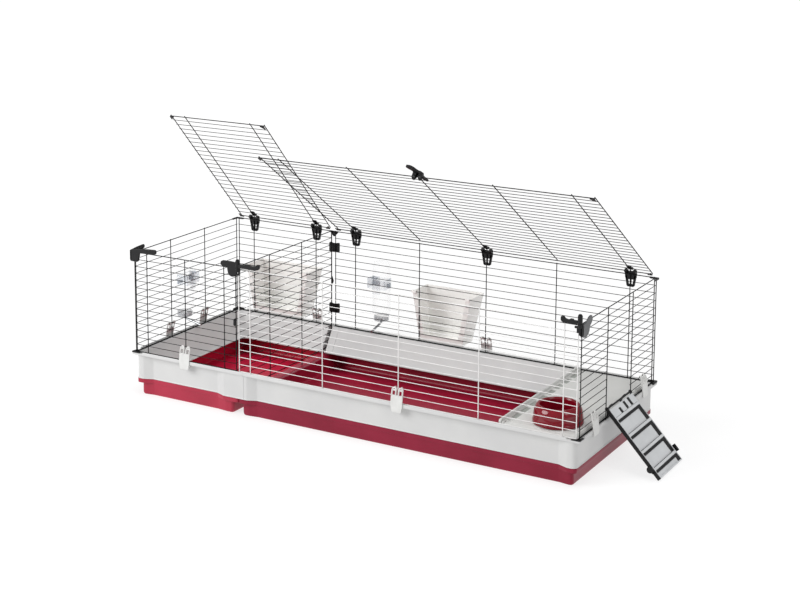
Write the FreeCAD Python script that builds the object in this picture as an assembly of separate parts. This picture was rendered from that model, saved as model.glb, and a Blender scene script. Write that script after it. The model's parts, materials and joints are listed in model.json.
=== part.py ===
import FreeCAD, Part
import math
import os
from FreeCAD import Vector

os.makedirs("parts", exist_ok=True)

# Two-module rabbit cage. Millimetres. Origin on the floor at the middle of the base, +X along the
# length towards the ramp, +Y to the back wall, +Z up. The front is at -Y. Lids stand open, ramp is down.

# Base: overall rim, module seam and heights above the floor
RIM_LENGTH = 1598.0
RIM_WIDTH = 598.0
SMALL_LENGTH = 420.0
SEAM_GAP = 0.8
BAND_SEAM_SHIFT = 22.0
RIM_TOP = 142.0
RIM_LIP = 6.0
RIM_RADIUS = 6.0
RIM_UPSTAND = 5.5
RIM_UPSTAND_WIDTH = 4.0
RIM_UPSTAND_CLEAR = 30.0
BAND_BOTTOM = 54.0
BAND_INSET = 6.0
CORNER_RADIUS = 26.0
SHELL = 3.0
SEAT_GAP = 0.3

# Proud corners of the base walls, with the wall between them set back
PILASTER_CORNER = 39.0
PILASTER_SEAM_SMALL = 56.0
PILASTER_SEAM_LARGE = 29.0
PILASTER_CHAMFER = 34.0
WALL_RECESS = 13.0
END_RECESS = 9.0

# Litter slope inside the surround
SLOPE_TOP_INSET = 18.0
SLOPE_FOOT_INSET = 66.0
SLOPE_FOOT_Z = 66.0
SLOPE_LIP = 10.0
PARTITION_SLOT = 44.0

# Trays
TRAY_INSET = 8.0
TRAY_END_INSET = 28.0
TRAY_SEAM_INSET = 12.0
TRAY_FLOOR = 4.0
TRAY_SKIRT = 13.0
TRAY_RADIUS = 10.0

# Wire walls
WALL_INSET = 9.0
POST_INSET_X = 8.0
POST_INSET_Y = 5.0
POST_R = 1.5
THIN_R = 1.0
RAIL_R = 2.0
WELD_GAP = 0.02
LEVEL_COUNT = 15
LEVEL_PITCH = 23.9
FRONT_GAP = 11.0
BACK_GAP = 16.0
FRONT_SEAM_SHIFT = 0.5
BACK_SEAM_SHIFT = 7.0
UPRIGHT_MARGIN = 40.0
FRONT_SMALL_PITCH = 153.0
BACK_SMALL_PITCH = 260.0
FRONT_LARGE_PITCH = 268.0
BACK_LARGE_PITCH = 250.0
END_PITCH = 190.0

# Doorway in the right end wall, counted in wire levels
SILL_LEVEL = 1
HEAD_LEVEL = 9

# Partition
PARTITION_SHIFT = 11.0
PARTITION_SIDE_GAP = 8.0
PARTITION_LEVELS = 18

# Lids
HINGE_RISE = 8.9
LID_FRONT_GAP = 8.0
LID_PITCH = 23.9
LID_END_GAP = 7.0
LID_SEAM_GAP = 28.0
SMALL_LID_OPEN = 46.5
LARGE_LID_OPEN = 35.0
PIN_CLEARANCE = 0.08
CAP_LEG = 16.0
CAP_THICK = 3.0
KNUCKLE_WIDTH = 13.0
KNUCKLE_LENGTH = 24.0
KNUCKLE_RISE = 6.0
KNUCKLE_NOSE = 2.5
LATCH_WIDTH = 34.0
LATCH_PADDLE = 52.0
LATCH_TAIL = 40.0
LATCH_EAR = 13.0

# Plastic clips and connectors
CLIP_GAP = 0.3
CLIP_PLATE = 7.0
HINGE_CLIP_WIDTH = 34.0
HINGE_CLIP_FOOT = 18.0
HINGE_CLIP_DROP = 44.0
HINGE_EAR = 7.0
HINGE_EAR_R = 6.5
CONNECTOR_BOTTOM = 450.0
CONNECTOR_TOP = 498.0
CONNECTOR_LEG = 26.0
ARM_LIFT = 3.0
ARM_HEIGHT = 16.0
LEFT_FRONT_ARM = 97.0
LEFT_END_ARM = 62.0
MIDDLE_TOOTH = 39.0
MIDDLE_ARM = 66.0
MIDDLE_PIN_SHIFT = 3.0
RIGHT_LEG = 7.0
RIGHT_PIN_INSET = 9.0
LEVER_LIFT = 3.6
LEVER_LENGTH = 83.0
LEVER_SHORT = 58.0
LEVER_PIN_R = 3.0
LEVER_HEIGHT = 11.0
LEVER_BOSS_R = 7.0
LEVER_BOSS_RISE = 14.0
LOBE_DROP = 38.0
LOBE_LOW_LENGTH = 41.0
LOBE_HIGH_START = 15.0
LOBE_LENGTH = 60.0
BACK_BRACKET_HEIGHT = 6.0
FOOT_CLIP_HEIGHT = 6.0
JOINT_CLIP_WIDTH = 40.0
JOINT_CLIP_HEIGHT = 34.0
JOINT_CLIP_LEVELS = (421.0, 206.0)
CATCH_Z = 305.0
FRONT_CATCH_Z = 301.0
FRONT_CATCH_HEIGHT = 24.0
FRONT_CATCH_WIDTH = 9.0

# Base clips
CLIP_LEVEL = 2
STRAP_WIDTH = 40.0
STRAP_THICK = 3.0
STRAP_BOTTOM = 116.0
LOOP_OFFSET = 11.0
LOOP_WIDTH = 5.0
LOOP_R = 4.0
HOOK_DROP = 1.2
HOOK_HEIGHT = 4.0
HOOK_CATCH = 3.0
RIGHT_CLIP_INSET = 95.0

# Ramp
RAMP_WIDTH = 183.0
RAMP_LENGTH = 246.0
RAMP_Y = -30.0
RAMP_SLOPE = 46.9
RAMP_AXIS_OUT = 13.0
RAMP_AXIS_UP = 16.0
RAMP_RAIL_WIDTH = 7.0
RAMP_RAIL_HEIGHT = 13.0
RAMP_DECK = 7.0
RAMP_TREADS = 4
RAMP_TREAD_WIDTH = 8.0
RAMP_PANEL_DEPTH = 3.5
RAMP_HEAD = 44.0
RAMP_PIN_R = 3.0
RAMP_HOOK_SPACING = 100.0
RAMP_HOOK_WIDTH = 10.0
RAMP_LATCH_INSET = 38.0
RAMP_LATCH_R = 10.0
RAMP_LATCH_REACH = 14.0
RAMP_LATCH_THICK = 8.0

# Feeding platform and bowl
PLATFORM_LENGTH = 243.0
PLATFORM_END_GAP = 14.0
PLATFORM_SIDE_INSET = 20.0
PLATFORM_TOP = 148.0
PLATFORM_SKIRT = 38.0
PLATFORM_RIB = 8.0
PLATFORM_RIB_WIDTH = 7.0
PLATFORM_PLATE = 3.0
PLATFORM_EDGE_RUN = 17.0
PLATFORM_EDGE_DROP = 5.0
BOWL_END_GAP = 107.0
BOWL_FRONT_GAP = 96.0
BOWL_BASE_R = 75.0
BOWL_RIM_R = 58.0
BOWL_HEIGHT = 55.0
BOWL_WALL = 4.0
BOWL_FLOOR = 5.0

# Hay racks on the back wall: centre from the panel's left post, width at the top
RACK_LARGE_POST_GAP = 412.0
RACK_LARGE_WIDTH = 218.0
RACK_SMALL_POST_GAP = 158.0
RACK_SMALL_WIDTH = 256.0
RACK_TAPER = 56.0
RACK_DEPTH = 100.0
RACK_DEPTH_TAPER = 28.0
RACK_HEIGHT = 164.0
RACK_WALL = 2.5
RACK_LEVEL = 7
RACK_LIP = 20.0
HOOK_WIDTH = 16.0
HOOK_REACH = 5.0

# Water bottles
BOTTLE_POST_GAP = 160.0
BOTTLE_END_Y = 30.0
BOTTLE_R = 32.0
BOTTLE_WALL = 1.5
BOTTLE_BOTTOM = 196.0
BOTTLE_TOP = 386.0
BOTTLE_OFF_WALL = 40.0
CAP_R = 26.0
CAP_BOTTOM = 178.0
CAP_WALL = 3.0
SPOUT_R = 4.0
SPOUT_BORE_R = 3.0
SPOUT_BEND_Z = 170.0
SPOUT_TIP_Z = 154.0
SPOUT_REACH = 27.0
BALL_R = 2.8
BRACKET_LOW = 274.0
BRACKET_HIGH = 346.0
BRACKET_WALL = 3.0
BRACKET_ARM = 44.0
BRACKET_LEVEL = 8

# Places worked out from the sizes above
HALF_L = RIM_LENGTH / 2
HALF_W = RIM_WIDTH / 2
SEAM_X = -HALF_L + SMALL_LENGTH
BAND_SEAM_X = SEAM_X + BAND_SEAM_SHIFT
WALL_X = HALF_L - WALL_INSET
WALL_Y = HALF_W - WALL_INSET
RAIL_Z = RIM_TOP + RAIL_R + SEAT_GAP
TOP_Z = RAIL_Z + (LEVEL_COUNT - 1) * LEVEL_PITCH
WIRE_TOP = TOP_Z + POST_R
HINGE_Z = TOP_Z + HINGE_RISE
FLANGE_TOP = BAND_BOTTOM - SEAT_GAP
END_POST_X = WALL_X - POST_INSET_X
END_POST_Y = WALL_Y - POST_INSET_Y
FRONT_SEAM_X = SEAM_X - FRONT_SEAM_SHIFT
BACK_SEAM_X = SEAM_X - BACK_SEAM_SHIFT
PARTITION_X = SEAM_X - PARTITION_SHIFT
LID_DEPTH = 2 * WALL_Y - LID_FRONT_GAP
RIGHT_CLIP_Y = END_POST_Y - RIGHT_CLIP_INSET
FACE = POST_R + CLIP_GAP
WALL_TURN = {"back": 0.0, "left": 90.0, "front": 180.0, "right": -90.0}


def level_z(level):
    """Height of a horizontal wire, counted up from the bottom rail."""
    return RAIL_Z + level * LEVEL_PITCH


def save(node, *solids):
    shape = solids[0] if len(solids) == 1 else Part.makeCompound(list(solids))
    shape.exportStep("parts/" + node + ".step")


def block(x0, x1, y0, y1, z0, z1):
    return Part.makeBox(x1 - x0, y1 - y0, z1 - z0, Vector(x0, y0, z0))


def rod(start, end, radius):
    """Straight round wire from one point to another."""
    run = end.sub(start)
    return Part.makeCylinder(radius, run.Length, start, run)


def outline(x0, x1, y0, y1, z, radius):
    """Rectangle with round corners, as a closed wire at one height."""
    r = radius
    corners = ((x1 - r, y0 + r, -90), (x1 - r, y1 - r, 0), (x0 + r, y1 - r, 90), (x0 + r, y0 + r, 180))
    edges = []
    last = None
    for cx, cy, start in corners:
        arc = Part.makeCircle(r, Vector(cx, cy, z), Vector(0, 0, 1), start, start + 90)
        first = arc.Vertexes[0].Point
        if last is not None:
            edges.append(Part.makeLine(last, first))
        edges.append(arc)
        last = arc.Vertexes[-1].Point
    edges.append(Part.makeLine(last, edges[0].Vertexes[0].Point))
    return Part.Wire(edges)


def prism(limits, inset, z0, z1, radius):
    """Upright block with round corners, set in from the given plan limits."""
    x0, x1, y0, y1 = limits
    wire = outline(x0 + inset, x1 - inset, y0 + inset, y1 - inset, z0, radius)
    return Part.Face(wire).extrude(Vector(0, 0, z1 - z0))


def funnel(limits, low_inset, z0, high_inset, z1, radius):
    """Block whose sides slope from one inset at the bottom to another at the top."""
    x0, x1, y0, y1 = limits
    low = outline(x0 + low_inset, x1 - low_inset, y0 + low_inset, y1 - low_inset, z0, radius)
    high = outline(x0 + high_inset, x1 - high_inset, y0 + high_inset, y1 - high_inset, z1, radius)
    return Part.makeLoft([low, high], True, True)


def plate(points, along, thickness):
    """Flat plate: a polygon of points, extruded along a vector of the given length."""
    face = Part.Face(Part.makePolygon([Vector(*p) for p in points] + [Vector(*points[0])]))
    return face.extrude(Vector(*along).multiply(thickness))


def side_plate(profile, u0, u1):
    """Profile of (outward, height) points, carried along a wall from u0 to u1."""
    return plate([(u0, v, z) for v, z in profile], (1, 0, 0), u1 - u0)


def on_wall(shape, wall, along):
    """Moves a shape drawn with X along the wall and Y outward to its place on a wall."""
    placed = shape.copy()
    placed.rotate(Vector(0, 0, 0), Vector(0, 0, 1), WALL_TURN[wall])
    placed.translate(wall_point(wall, along, 0, 0))
    return placed


def spread(low, high, pitch):
    """Positions at a pitch about the middle of a panel, clear of its two posts."""
    middle = (low + high) / 2
    steps = int((high - low - 2 * UPRIGHT_MARGIN) / pitch)
    start = middle - pitch * steps / 2
    return [start + pitch * i for i in range(steps + 1)]


def wall_point(wall, u, v, z):
    if wall == "back":
        return Vector(u, WALL_Y + v, z)
    if wall == "front":
        return Vector(u, -WALL_Y - v, z)
    if wall == "left":
        return Vector(-WALL_X - v, u, z)
    return Vector(WALL_X + v, u, z)


def wire_radius(level, last):
    """Bottom rail is the thickest wire and the top rail is as thick as a post."""
    if level == 0:
        return RAIL_R
    return POST_R if level == last else THIN_R


def wire_wall(wall, low, high, inner, doorway=None):
    """Upright wires at two posts and between them, with the level wires lying on their inner side."""
    wires = []
    for u in [low] + inner + [high]:
        wires.append(rod(wall_point(wall, u, 0, RAIL_Z - RAIL_R), wall_point(wall, u, 0, WIRE_TOP), POST_R))
    for level in range(LEVEL_COUNT):
        radius = wire_radius(level, LEVEL_COUNT - 1)
        depth = -(POST_R + radius + WELD_GAP)
        runs = [(low - POST_R, high + POST_R)]
        if doorway and SILL_LEVEL < level < HEAD_LEVEL:
            runs = [(low - POST_R, doorway[0] + POST_R), (doorway[1] - POST_R, high + POST_R)]
        for start, end in runs:
            z = level_z(level)
            wires.append(rod(wall_point(wall, start, depth, z), wall_point(wall, end, depth, z), radius))
    return wires


# Surround: rim, band and inward slope, made as one ring and parted at the seam
RING = (-HALF_L, HALF_L, -HALF_W, HALF_W)
BAND_RING = (-HALF_L + END_RECESS, HALF_L - END_RECESS, -HALF_W, HALF_W)
SLOPE_RUN = SLOPE_FOOT_INSET - SLOPE_TOP_INSET
SLOPE_WALL = SHELL * math.hypot(SLOPE_RUN, RIM_TOP - SLOPE_FOOT_Z) / (RIM_TOP - SLOPE_FOOT_Z)


MODULE_SPANS = {"small": (-HALF_L + PILASTER_CORNER, SEAM_X - PILASTER_SEAM_SMALL),
                "large": (SEAM_X + PILASTER_SEAM_LARGE, HALF_L - PILASTER_CORNER)}


def recesses(module, inset, depth, z0, z1):
    """Shallow trapezoids between the proud corners, to cut from a module's front and back."""
    start, stop = MODULE_SPANS[module]
    slabs = []
    for side in (-1, 1):
        face = side * (HALF_W - inset)
        deep = face - side * depth
        plan = [(start, face, z0), (stop, face, z0), (stop - PILASTER_CHAMFER, deep, z0),
                (start + PILASTER_CHAMFER, deep, z0)]
        slabs.append(plate(plan, (0, 0, 1), z1 - z0))
    return slabs


def set_back(solid, modules, inset, depth, z0, z1):
    """The solid with its walls set back between the proud corners."""
    for module in modules:
        for slab in recesses(module, inset, depth, z0, z1):
            solid = solid.cut(slab)
    return solid


def rim_upstand():
    """Low wall on the outer edge of the rim that hides the walls' bottom rails; it stops short of the
    corner clips."""
    z1 = RIM_TOP + RIM_UPSTAND
    wall = prism(RING, 0, RIM_TOP, z1, RIM_RADIUS)
    wall = wall.cut(prism(RING, RIM_UPSTAND_WIDTH, RIM_TOP, z1, RIM_RADIUS - RIM_UPSTAND_WIDTH))
    x = WALL_X - RIM_UPSTAND_CLEAR
    y = WALL_Y - RIM_UPSTAND_CLEAR
    for side_x in (-1, 1):
        for side_y in (-1, 1):
            ends = sorted((side_x * x, side_x * RIM_LENGTH)) + sorted((side_y * y, side_y * RIM_WIDTH))
            wall = wall.cut(block(*ends, RIM_TOP, z1))
    return wall


def surround_ring():
    band = prism(BAND_RING, BAND_INSET, BAND_BOTTOM, RIM_TOP - RIM_LIP, CORNER_RADIUS)
    band = set_back(band, MODULE_SPANS, BAND_INSET, WALL_RECESS, BAND_BOTTOM, RIM_TOP - RIM_LIP)
    rim = prism(RING, 0, RIM_TOP - RIM_LIP, RIM_TOP, RIM_RADIUS)
    inside = funnel(RING, SLOPE_FOOT_INSET, SLOPE_FOOT_Z, SLOPE_TOP_INSET, RIM_TOP, CORNER_RADIUS)
    backing = funnel(RING, SLOPE_FOOT_INSET - SLOPE_WALL, SLOPE_FOOT_Z, SLOPE_TOP_INSET - SLOPE_WALL,
                     RIM_TOP, CORNER_RADIUS)
    within = BAND_INSET + SHELL
    hollow = prism(BAND_RING, within, BAND_BOTTOM, RIM_TOP - SHELL, CORNER_RADIUS - SHELL)
    hollow = set_back(hollow, MODULE_SPANS, within, WALL_RECESS, BAND_BOTTOM, RIM_TOP - SHELL).cut(backing)
    lip = prism(RING, SLOPE_FOOT_INSET - SLOPE_WALL, SLOPE_FOOT_Z - SHELL, SLOPE_FOOT_Z, CORNER_RADIUS)
    lip = lip.cut(prism(RING, SLOPE_FOOT_INSET + SLOPE_LIP, SLOPE_FOOT_Z - SHELL, SLOPE_FOOT_Z,
                        CORNER_RADIUS))
    ring = band.fuse(rim).cut(inside).cut(hollow).fuse(lip)
    half = PARTITION_SLOT / 2
    reach = HALF_W - BAND_INSET - SHELL
    for side in (-1, 1):
        near = reach - SLOPE_FOOT_INSET - SLOPE_LIP
        y0, y1 = sorted((side * near, side * (reach - SEAT_GAP)))
        ring = ring.cut(block(SEAM_X - half, SEAM_X + half, y0, y1, BAND_BOTTOM, RIM_TOP))
    return ring.fuse(rim_upstand())


ring = surround_ring()
over = RIM_WIDTH
small_half = block(-HALF_L, BAND_SEAM_X - SEAM_GAP / 2, -over, over, 0, RIM_TOP + RIM_UPSTAND)
large_half = block(BAND_SEAM_X + SEAM_GAP / 2, HALF_L, -over, over, 0, RIM_TOP + RIM_UPSTAND)
save("surround_small", ring.common(small_half).Solids[0])
save("surround_large", ring.common(large_half).Solids[0])


# Trays: one under each module, with a flange and a turned-down skirt that the band stands on
def tray(module, side):
    """Open tray whose walls stand in line with the band's; side is the way to the module's outer end."""
    seam = SEAM_X + side * SEAM_GAP / 2
    flange_end = side * (HALF_L - END_RECESS - BAND_INSET)
    body_end = side * (HALF_L - TRAY_END_INSET)

    def walled(seam_x, end_x, inset, thick, z0, z1, radius):
        ends = sorted((seam_x + side * thick, end_x - side * thick))
        y = HALF_W - inset - thick
        solid = prism((*ends, -y, y), 0, z0, z1, radius - thick)
        return set_back(solid, [module], inset + thick, WALL_RECESS, z0, z1)

    skirt = BAND_BOTTOM - TRAY_SKIRT
    lip = (seam, flange_end, BAND_INSET)
    wall = (seam + side * TRAY_SEAM_INSET, body_end, TRAY_INSET)
    flange = walled(*lip, 0, skirt, FLANGE_TOP, TRAY_RADIUS)
    groove = walled(*lip, SHELL, skirt, FLANGE_TOP - SHELL, TRAY_RADIUS)
    body = walled(*wall, 0, 0, FLANGE_TOP, TRAY_RADIUS)
    inside = walled(*wall, SHELL, TRAY_FLOOR, FLANGE_TOP, TRAY_RADIUS)
    return flange.cut(groove).fuse(body).cut(inside)


save("tray_small", tray("small", -1))
save("tray_large", tray("large", 1))

# Wire walls
FRONT_SMALL_END = FRONT_SEAM_X - FRONT_GAP / 2
FRONT_LARGE_END = FRONT_SEAM_X + FRONT_GAP / 2
BACK_SMALL_END = BACK_SEAM_X - BACK_GAP / 2
BACK_LARGE_END = BACK_SEAM_X + BACK_GAP / 2
front_small_inner = spread(-END_POST_X, FRONT_SMALL_END, FRONT_SMALL_PITCH)
front_large_inner = spread(FRONT_LARGE_END, END_POST_X, FRONT_LARGE_PITCH)
back_small_inner = spread(-END_POST_X, BACK_SMALL_END, BACK_SMALL_PITCH)
back_large_inner = spread(BACK_LARGE_END, END_POST_X, BACK_LARGE_PITCH)
end_inner = [-END_PITCH / 2, END_PITCH / 2]

save("front_panel_small", *wire_wall("front", -END_POST_X, FRONT_SMALL_END, front_small_inner))
save("front_panel_large", *wire_wall("front", FRONT_LARGE_END, END_POST_X, front_large_inner))
save("back_panel_small", *wire_wall("back", -END_POST_X, BACK_SMALL_END, back_small_inner))
save("back_panel_large", *wire_wall("back", BACK_LARGE_END, END_POST_X, back_large_inner))
save("end_panel_small", *wire_wall("left", -END_POST_Y, END_POST_Y, end_inner))
save("end_panel_large", *wire_wall("right", -END_POST_Y, END_POST_Y, end_inner, end_inner))


# Partition: a wire panel across the seam that stands on the trays' ridge, its wires on the left side
def partition():
    half = WALL_Y - PARTITION_SIDE_GAP
    foot = FLANGE_TOP + SEAT_GAP
    wires = []
    for y in [-half] + end_inner + [half]:
        wires.append(rod(Vector(PARTITION_X, y, foot), Vector(PARTITION_X, y, WIRE_TOP), POST_R))
    for step in range(PARTITION_LEVELS):
        radius = POST_R if step in (0, PARTITION_LEVELS - 1) else THIN_R
        x = PARTITION_X - POST_R - radius - WELD_GAP
        z = TOP_Z - step * LEVEL_PITCH
        wires.append(rod(Vector(x, -half - POST_R, z), Vector(x, half + POST_R, z), radius))
    return wires


save("partition_panel", *partition())


# Lids: drawn closed about the hinge rail, then swung open
def lid_point(x, s, n):
    """Point on a closed lid: s forward from the hinge rail, n above it."""
    return Vector(x, WALL_Y - s, HINGE_Z + n)


def swing_open(solids, angle):
    for solid in solids:
        solid.rotate(Vector(0, WALL_Y, HINGE_Z), Vector(-1, 0, 0), angle)
    return solids


CROSS_N = 2 * POST_R + WELD_GAP
LATTICE_N = CROSS_N - POST_R - THIN_R - WELD_GAP


def lid(x0, x1, inner):
    """Rails along the hinge and the front edge, thin wires between, thick cross wires lying on top."""
    wires = []
    for s in (0, LID_DEPTH):
        wires.append(rod(lid_point(x0, s, 0), lid_point(x1, s, 0), POST_R))
    for x in [x0 + POST_R] + inner + [x1 - POST_R]:
        wires.append(rod(lid_point(x, -POST_R, CROSS_N), lid_point(x, LID_DEPTH + POST_R, CROSS_N), POST_R))
    for step in range(1, int(LID_DEPTH / LID_PITCH + 0.5)):
        s = step * LID_PITCH
        wires.append(rod(lid_point(x0, s, LATTICE_N), lid_point(x1, s, LATTICE_N), THIN_R))
    return wires


def corner_caps(x0, x1):
    """Triangular plates under the four corners of a lid."""
    top = -POST_R - WELD_GAP
    caps = []
    for x, side in ((x0, 1), (x1, -1)):
        for s, way in ((-POST_R, 1), (LID_DEPTH + POST_R, -1)):
            corner = lid_point(x, s, top)
            across = lid_point(x + side * CAP_LEG, s, top)
            along = lid_point(x, s + way * CAP_LEG, top)
            caps.append(plate([corner, across, along], (0, 0, -1), CAP_THICK))
    return caps


SMALL_LID = (-END_POST_X + LID_END_GAP, BACK_SEAM_X - LID_SEAM_GAP / 2)
LARGE_LID = (BACK_SEAM_X + LID_SEAM_GAP / 2, END_POST_X - LID_END_GAP)
save("lid_small", *swing_open(lid(*SMALL_LID, back_small_inner), SMALL_LID_OPEN))
save("lid_large", *swing_open(lid(*LARGE_LID, back_large_inner), LARGE_LID_OPEN))
save("lid_corner_caps_small", *swing_open(corner_caps(*SMALL_LID), SMALL_LID_OPEN))
save("lid_corner_caps_large", *swing_open(corner_caps(*LARGE_LID), LARGE_LID_OPEN))


# Lid hinge clips: two ears round the lid's rail, on a tapered plate with two windows behind the wall
def hinge_clip():
    inner = FACE
    outer = inner + CLIP_PLATE
    top = WIRE_TOP + CLIP_GAP
    half = HINGE_CLIP_WIDTH / 2
    foot = HINGE_CLIP_FOOT / 2
    low = top - HINGE_CLIP_DROP
    clip = plate([(-half, inner, top), (half, inner, top), (foot, inner, low), (-foot, inner, low)],
                 (0, 1, 0), CLIP_PLATE)
    bar = HINGE_EAR / 2
    for side in (-1, 1):
        window = [(side * bar, inner, top - HINGE_EAR), (side * (half - HINGE_EAR), inner, top - HINGE_EAR),
                  (side * (foot - bar), inner, low + HINGE_EAR), (side * bar, inner, low + HINGE_EAR)]
        clip = clip.cut(plate(window, (0, 1, 0), CLIP_PLATE))
    axis_z = HINGE_Z
    for side in (-1, 1):
        x = side * (half - HINGE_EAR / 2) - HINGE_EAR / 2
        ear = Part.makeCylinder(HINGE_EAR_R, HINGE_EAR, Vector(x, 0, axis_z), Vector(1, 0, 0))
        web = block(x, x + HINGE_EAR, 0, outer, axis_z - HINGE_EAR_R, axis_z)
        stem = block(x, x + HINGE_EAR, inner, outer, top - HINGE_EAR, axis_z)
        trim = block(x, x + HINGE_EAR, -HINGE_EAR_R, inner, 0, top)
        bore = Part.makeCylinder(POST_R + PIN_CLEARANCE, HINGE_EAR, Vector(x, 0, axis_z), Vector(1, 0, 0))
        clip = clip.fuse(ear.fuse(web).fuse(stem).cut(trim).cut(bore))
    return clip.removeSplitter()


clip = hinge_clip()
save("lid_hinge_clips_small", *[on_wall(clip, "back", x) for x in back_small_inner])
large_hinge_places = back_large_inner[::2]
save("lid_hinge_clips_large", *[on_wall(clip, "back", x) for x in large_hinge_places])


# Knuckles: blocks on the lids' cross wires, just forward of each hinge clip
def knuckles(places):
    low = CROSS_N + POST_R + WELD_GAP
    half = KNUCKLE_WIDTH / 2
    blocks = []
    profile = [(0, low), (KNUCKLE_LENGTH, low), (KNUCKLE_LENGTH, low + KNUCKLE_NOSE), (0, low + KNUCKLE_RISE)]
    for x in places:
        points = [lid_point(x - half, s, n) for s, n in profile]
        blocks.append(plate(points, (1, 0, 0), KNUCKLE_WIDTH))
    return blocks


save("lid_knuckles_small", *swing_open(knuckles(back_small_inner), SMALL_LID_OPEN))
save("lid_knuckles_large", *swing_open(knuckles(large_hinge_places), LARGE_LID_OPEN))


# Lid latch: two ears round the large lid's front rail, either side of a cross wire, a paddle that stands
# clear of the front wall when it is turned down, and a tail along the cross wire
def lid_latch():
    middle = back_large_inner[len(back_large_inner) // 2]
    half = LATCH_WIDTH / 2
    low = LID_FRONT_GAP + FACE + CLIP_GAP
    ear_middle = half - LATCH_EAR / 2

    def bar(x_half, s0, s1, n0, n1):
        near = lid_point(middle - x_half, s1, n0)
        far = lid_point(middle + x_half, s0, n1)
        return block(near.x, far.x, near.y, far.y, near.z, far.z)

    latch = bar(half, LID_DEPTH - HINGE_EAR_R, LID_DEPTH + LATCH_PADDLE, low, low + CLIP_PLATE)
    latch = latch.fuse(bar(HINGE_EAR / 2, LID_DEPTH - LATCH_TAIL, LID_DEPTH, low, low + CLIP_PLATE))
    for side in (-1, 1):
        x = middle + side * ear_middle - LATCH_EAR / 2
        start = lid_point(x, LID_DEPTH, 0)
        ear = Part.makeCylinder(HINGE_EAR_R, LATCH_EAR, start, Vector(1, 0, 0))
        web = block(x, x + LATCH_EAR, start.y - HINGE_EAR_R, start.y + HINGE_EAR_R, start.z, start.z + low)
        bore = Part.makeCylinder(POST_R + PIN_CLEARANCE, LATCH_EAR, start, Vector(1, 0, 0))
        latch = latch.fuse(ear.fuse(web).cut(bore))
    return latch.removeSplitter()


save("lid_latch", *swing_open([lid_latch()], LARGE_LID_OPEN))

# Front top connectors: upright pieces outside the posts, with arms along the top rails
ARM_LOW = TOP_Z + ARM_LIFT
ARM_TOP = ARM_LOW + ARM_HEIGHT
LEVER_Z = WIRE_TOP + LEVER_LIFT
LOBE_TOP = LEVER_Z - CLIP_GAP
LEVER_BOSS_HEIGHT = LEVER_HEIGHT + LEVER_BOSS_RISE
PIN_Y = -WALL_Y - FACE - LEVER_BOSS_R
MIDDLE_PIN_X = FRONT_LARGE_END + MIDDLE_PIN_SHIFT
RIGHT_PIN_X = HALF_L - RIGHT_PIN_INSET


def corner_leg(side, front_reach, end_reach, low, high, thick):
    """Upright L in plan that wraps the outside of a front corner; side is -1 left, 1 right."""
    x_face = side * (WALL_X + FACE)
    x_out = x_face + side * thick
    y_face = -WALL_Y - FACE
    y_out = y_face - thick
    x_in = side * (WALL_X - front_reach)
    front = block(*sorted((x_in, x_out)), y_out, y_face, low, high)
    end = block(*sorted((x_face, x_out)), y_out, -WALL_Y + end_reach, low, high)
    return front.fuse(end)


def front_left_connector():
    body = corner_leg(-1, CONNECTOR_LEG, CONNECTOR_LEG, CONNECTOR_BOTTOM, ARM_TOP, CLIP_PLATE)
    arms = corner_leg(-1, LEFT_FRONT_ARM, LEFT_END_ARM, ARM_LOW, ARM_TOP, CLIP_PLATE)
    return body.fuse(arms).removeSplitter()


def lever_pin(x, y):
    """Upright pin with a collar under the lever."""
    pin_height = CLIP_GAP + LEVER_BOSS_HEIGHT + SHELL
    pin = Part.makeCylinder(LEVER_PIN_R, pin_height, Vector(x, y, LEVER_Z), Vector(0, 0, 1))
    collar = Part.makeCylinder(LEVER_BOSS_R, ARM_HEIGHT, Vector(x, y, LEVER_Z - ARM_HEIGHT), Vector(0, 0, 1))
    return pin.fuse(collar)


def front_middle_connector():
    y1 = -WALL_Y - FACE
    y0 = y1 - CLIP_PLATE
    tooth = block(MIDDLE_PIN_X - MIDDLE_TOOTH, MIDDLE_PIN_X, y0, y1, CONNECTOR_BOTTOM, LOBE_TOP)
    clear = MIDDLE_PIN_X - LEVER_BOSS_R - CLIP_GAP
    arm = block(MIDDLE_PIN_X - MIDDLE_ARM, clear, y0, y1, ARM_LOW, ARM_TOP)
    return tooth.fuse(arm).fuse(lever_pin(MIDDLE_PIN_X, PIN_Y)).removeSplitter()


def front_right_connector():
    """Narrow front leg, with a plate of two lobes on the end side: low at the front, high behind it."""
    body = corner_leg(1, RIGHT_LEG, CONNECTOR_LEG, CONNECTOR_BOTTOM, LOBE_TOP, CLIP_PLATE)
    x0 = WALL_X + FACE
    x1 = x0 + CLIP_PLATE
    lobe_low = block(x0, x1, -WALL_Y, -WALL_Y + LOBE_LOW_LENGTH, TOP_Z - LOBE_DROP, LOBE_TOP)
    lobe_high = block(x0, x1, -WALL_Y + LOBE_HIGH_START, -WALL_Y + LOBE_LENGTH, TOP_Z - CLIP_PLATE,
                      CONNECTOR_TOP)
    return body.fuse(lobe_low).fuse(lobe_high).fuse(lever_pin(RIGHT_PIN_X, PIN_Y)).removeSplitter()


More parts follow.
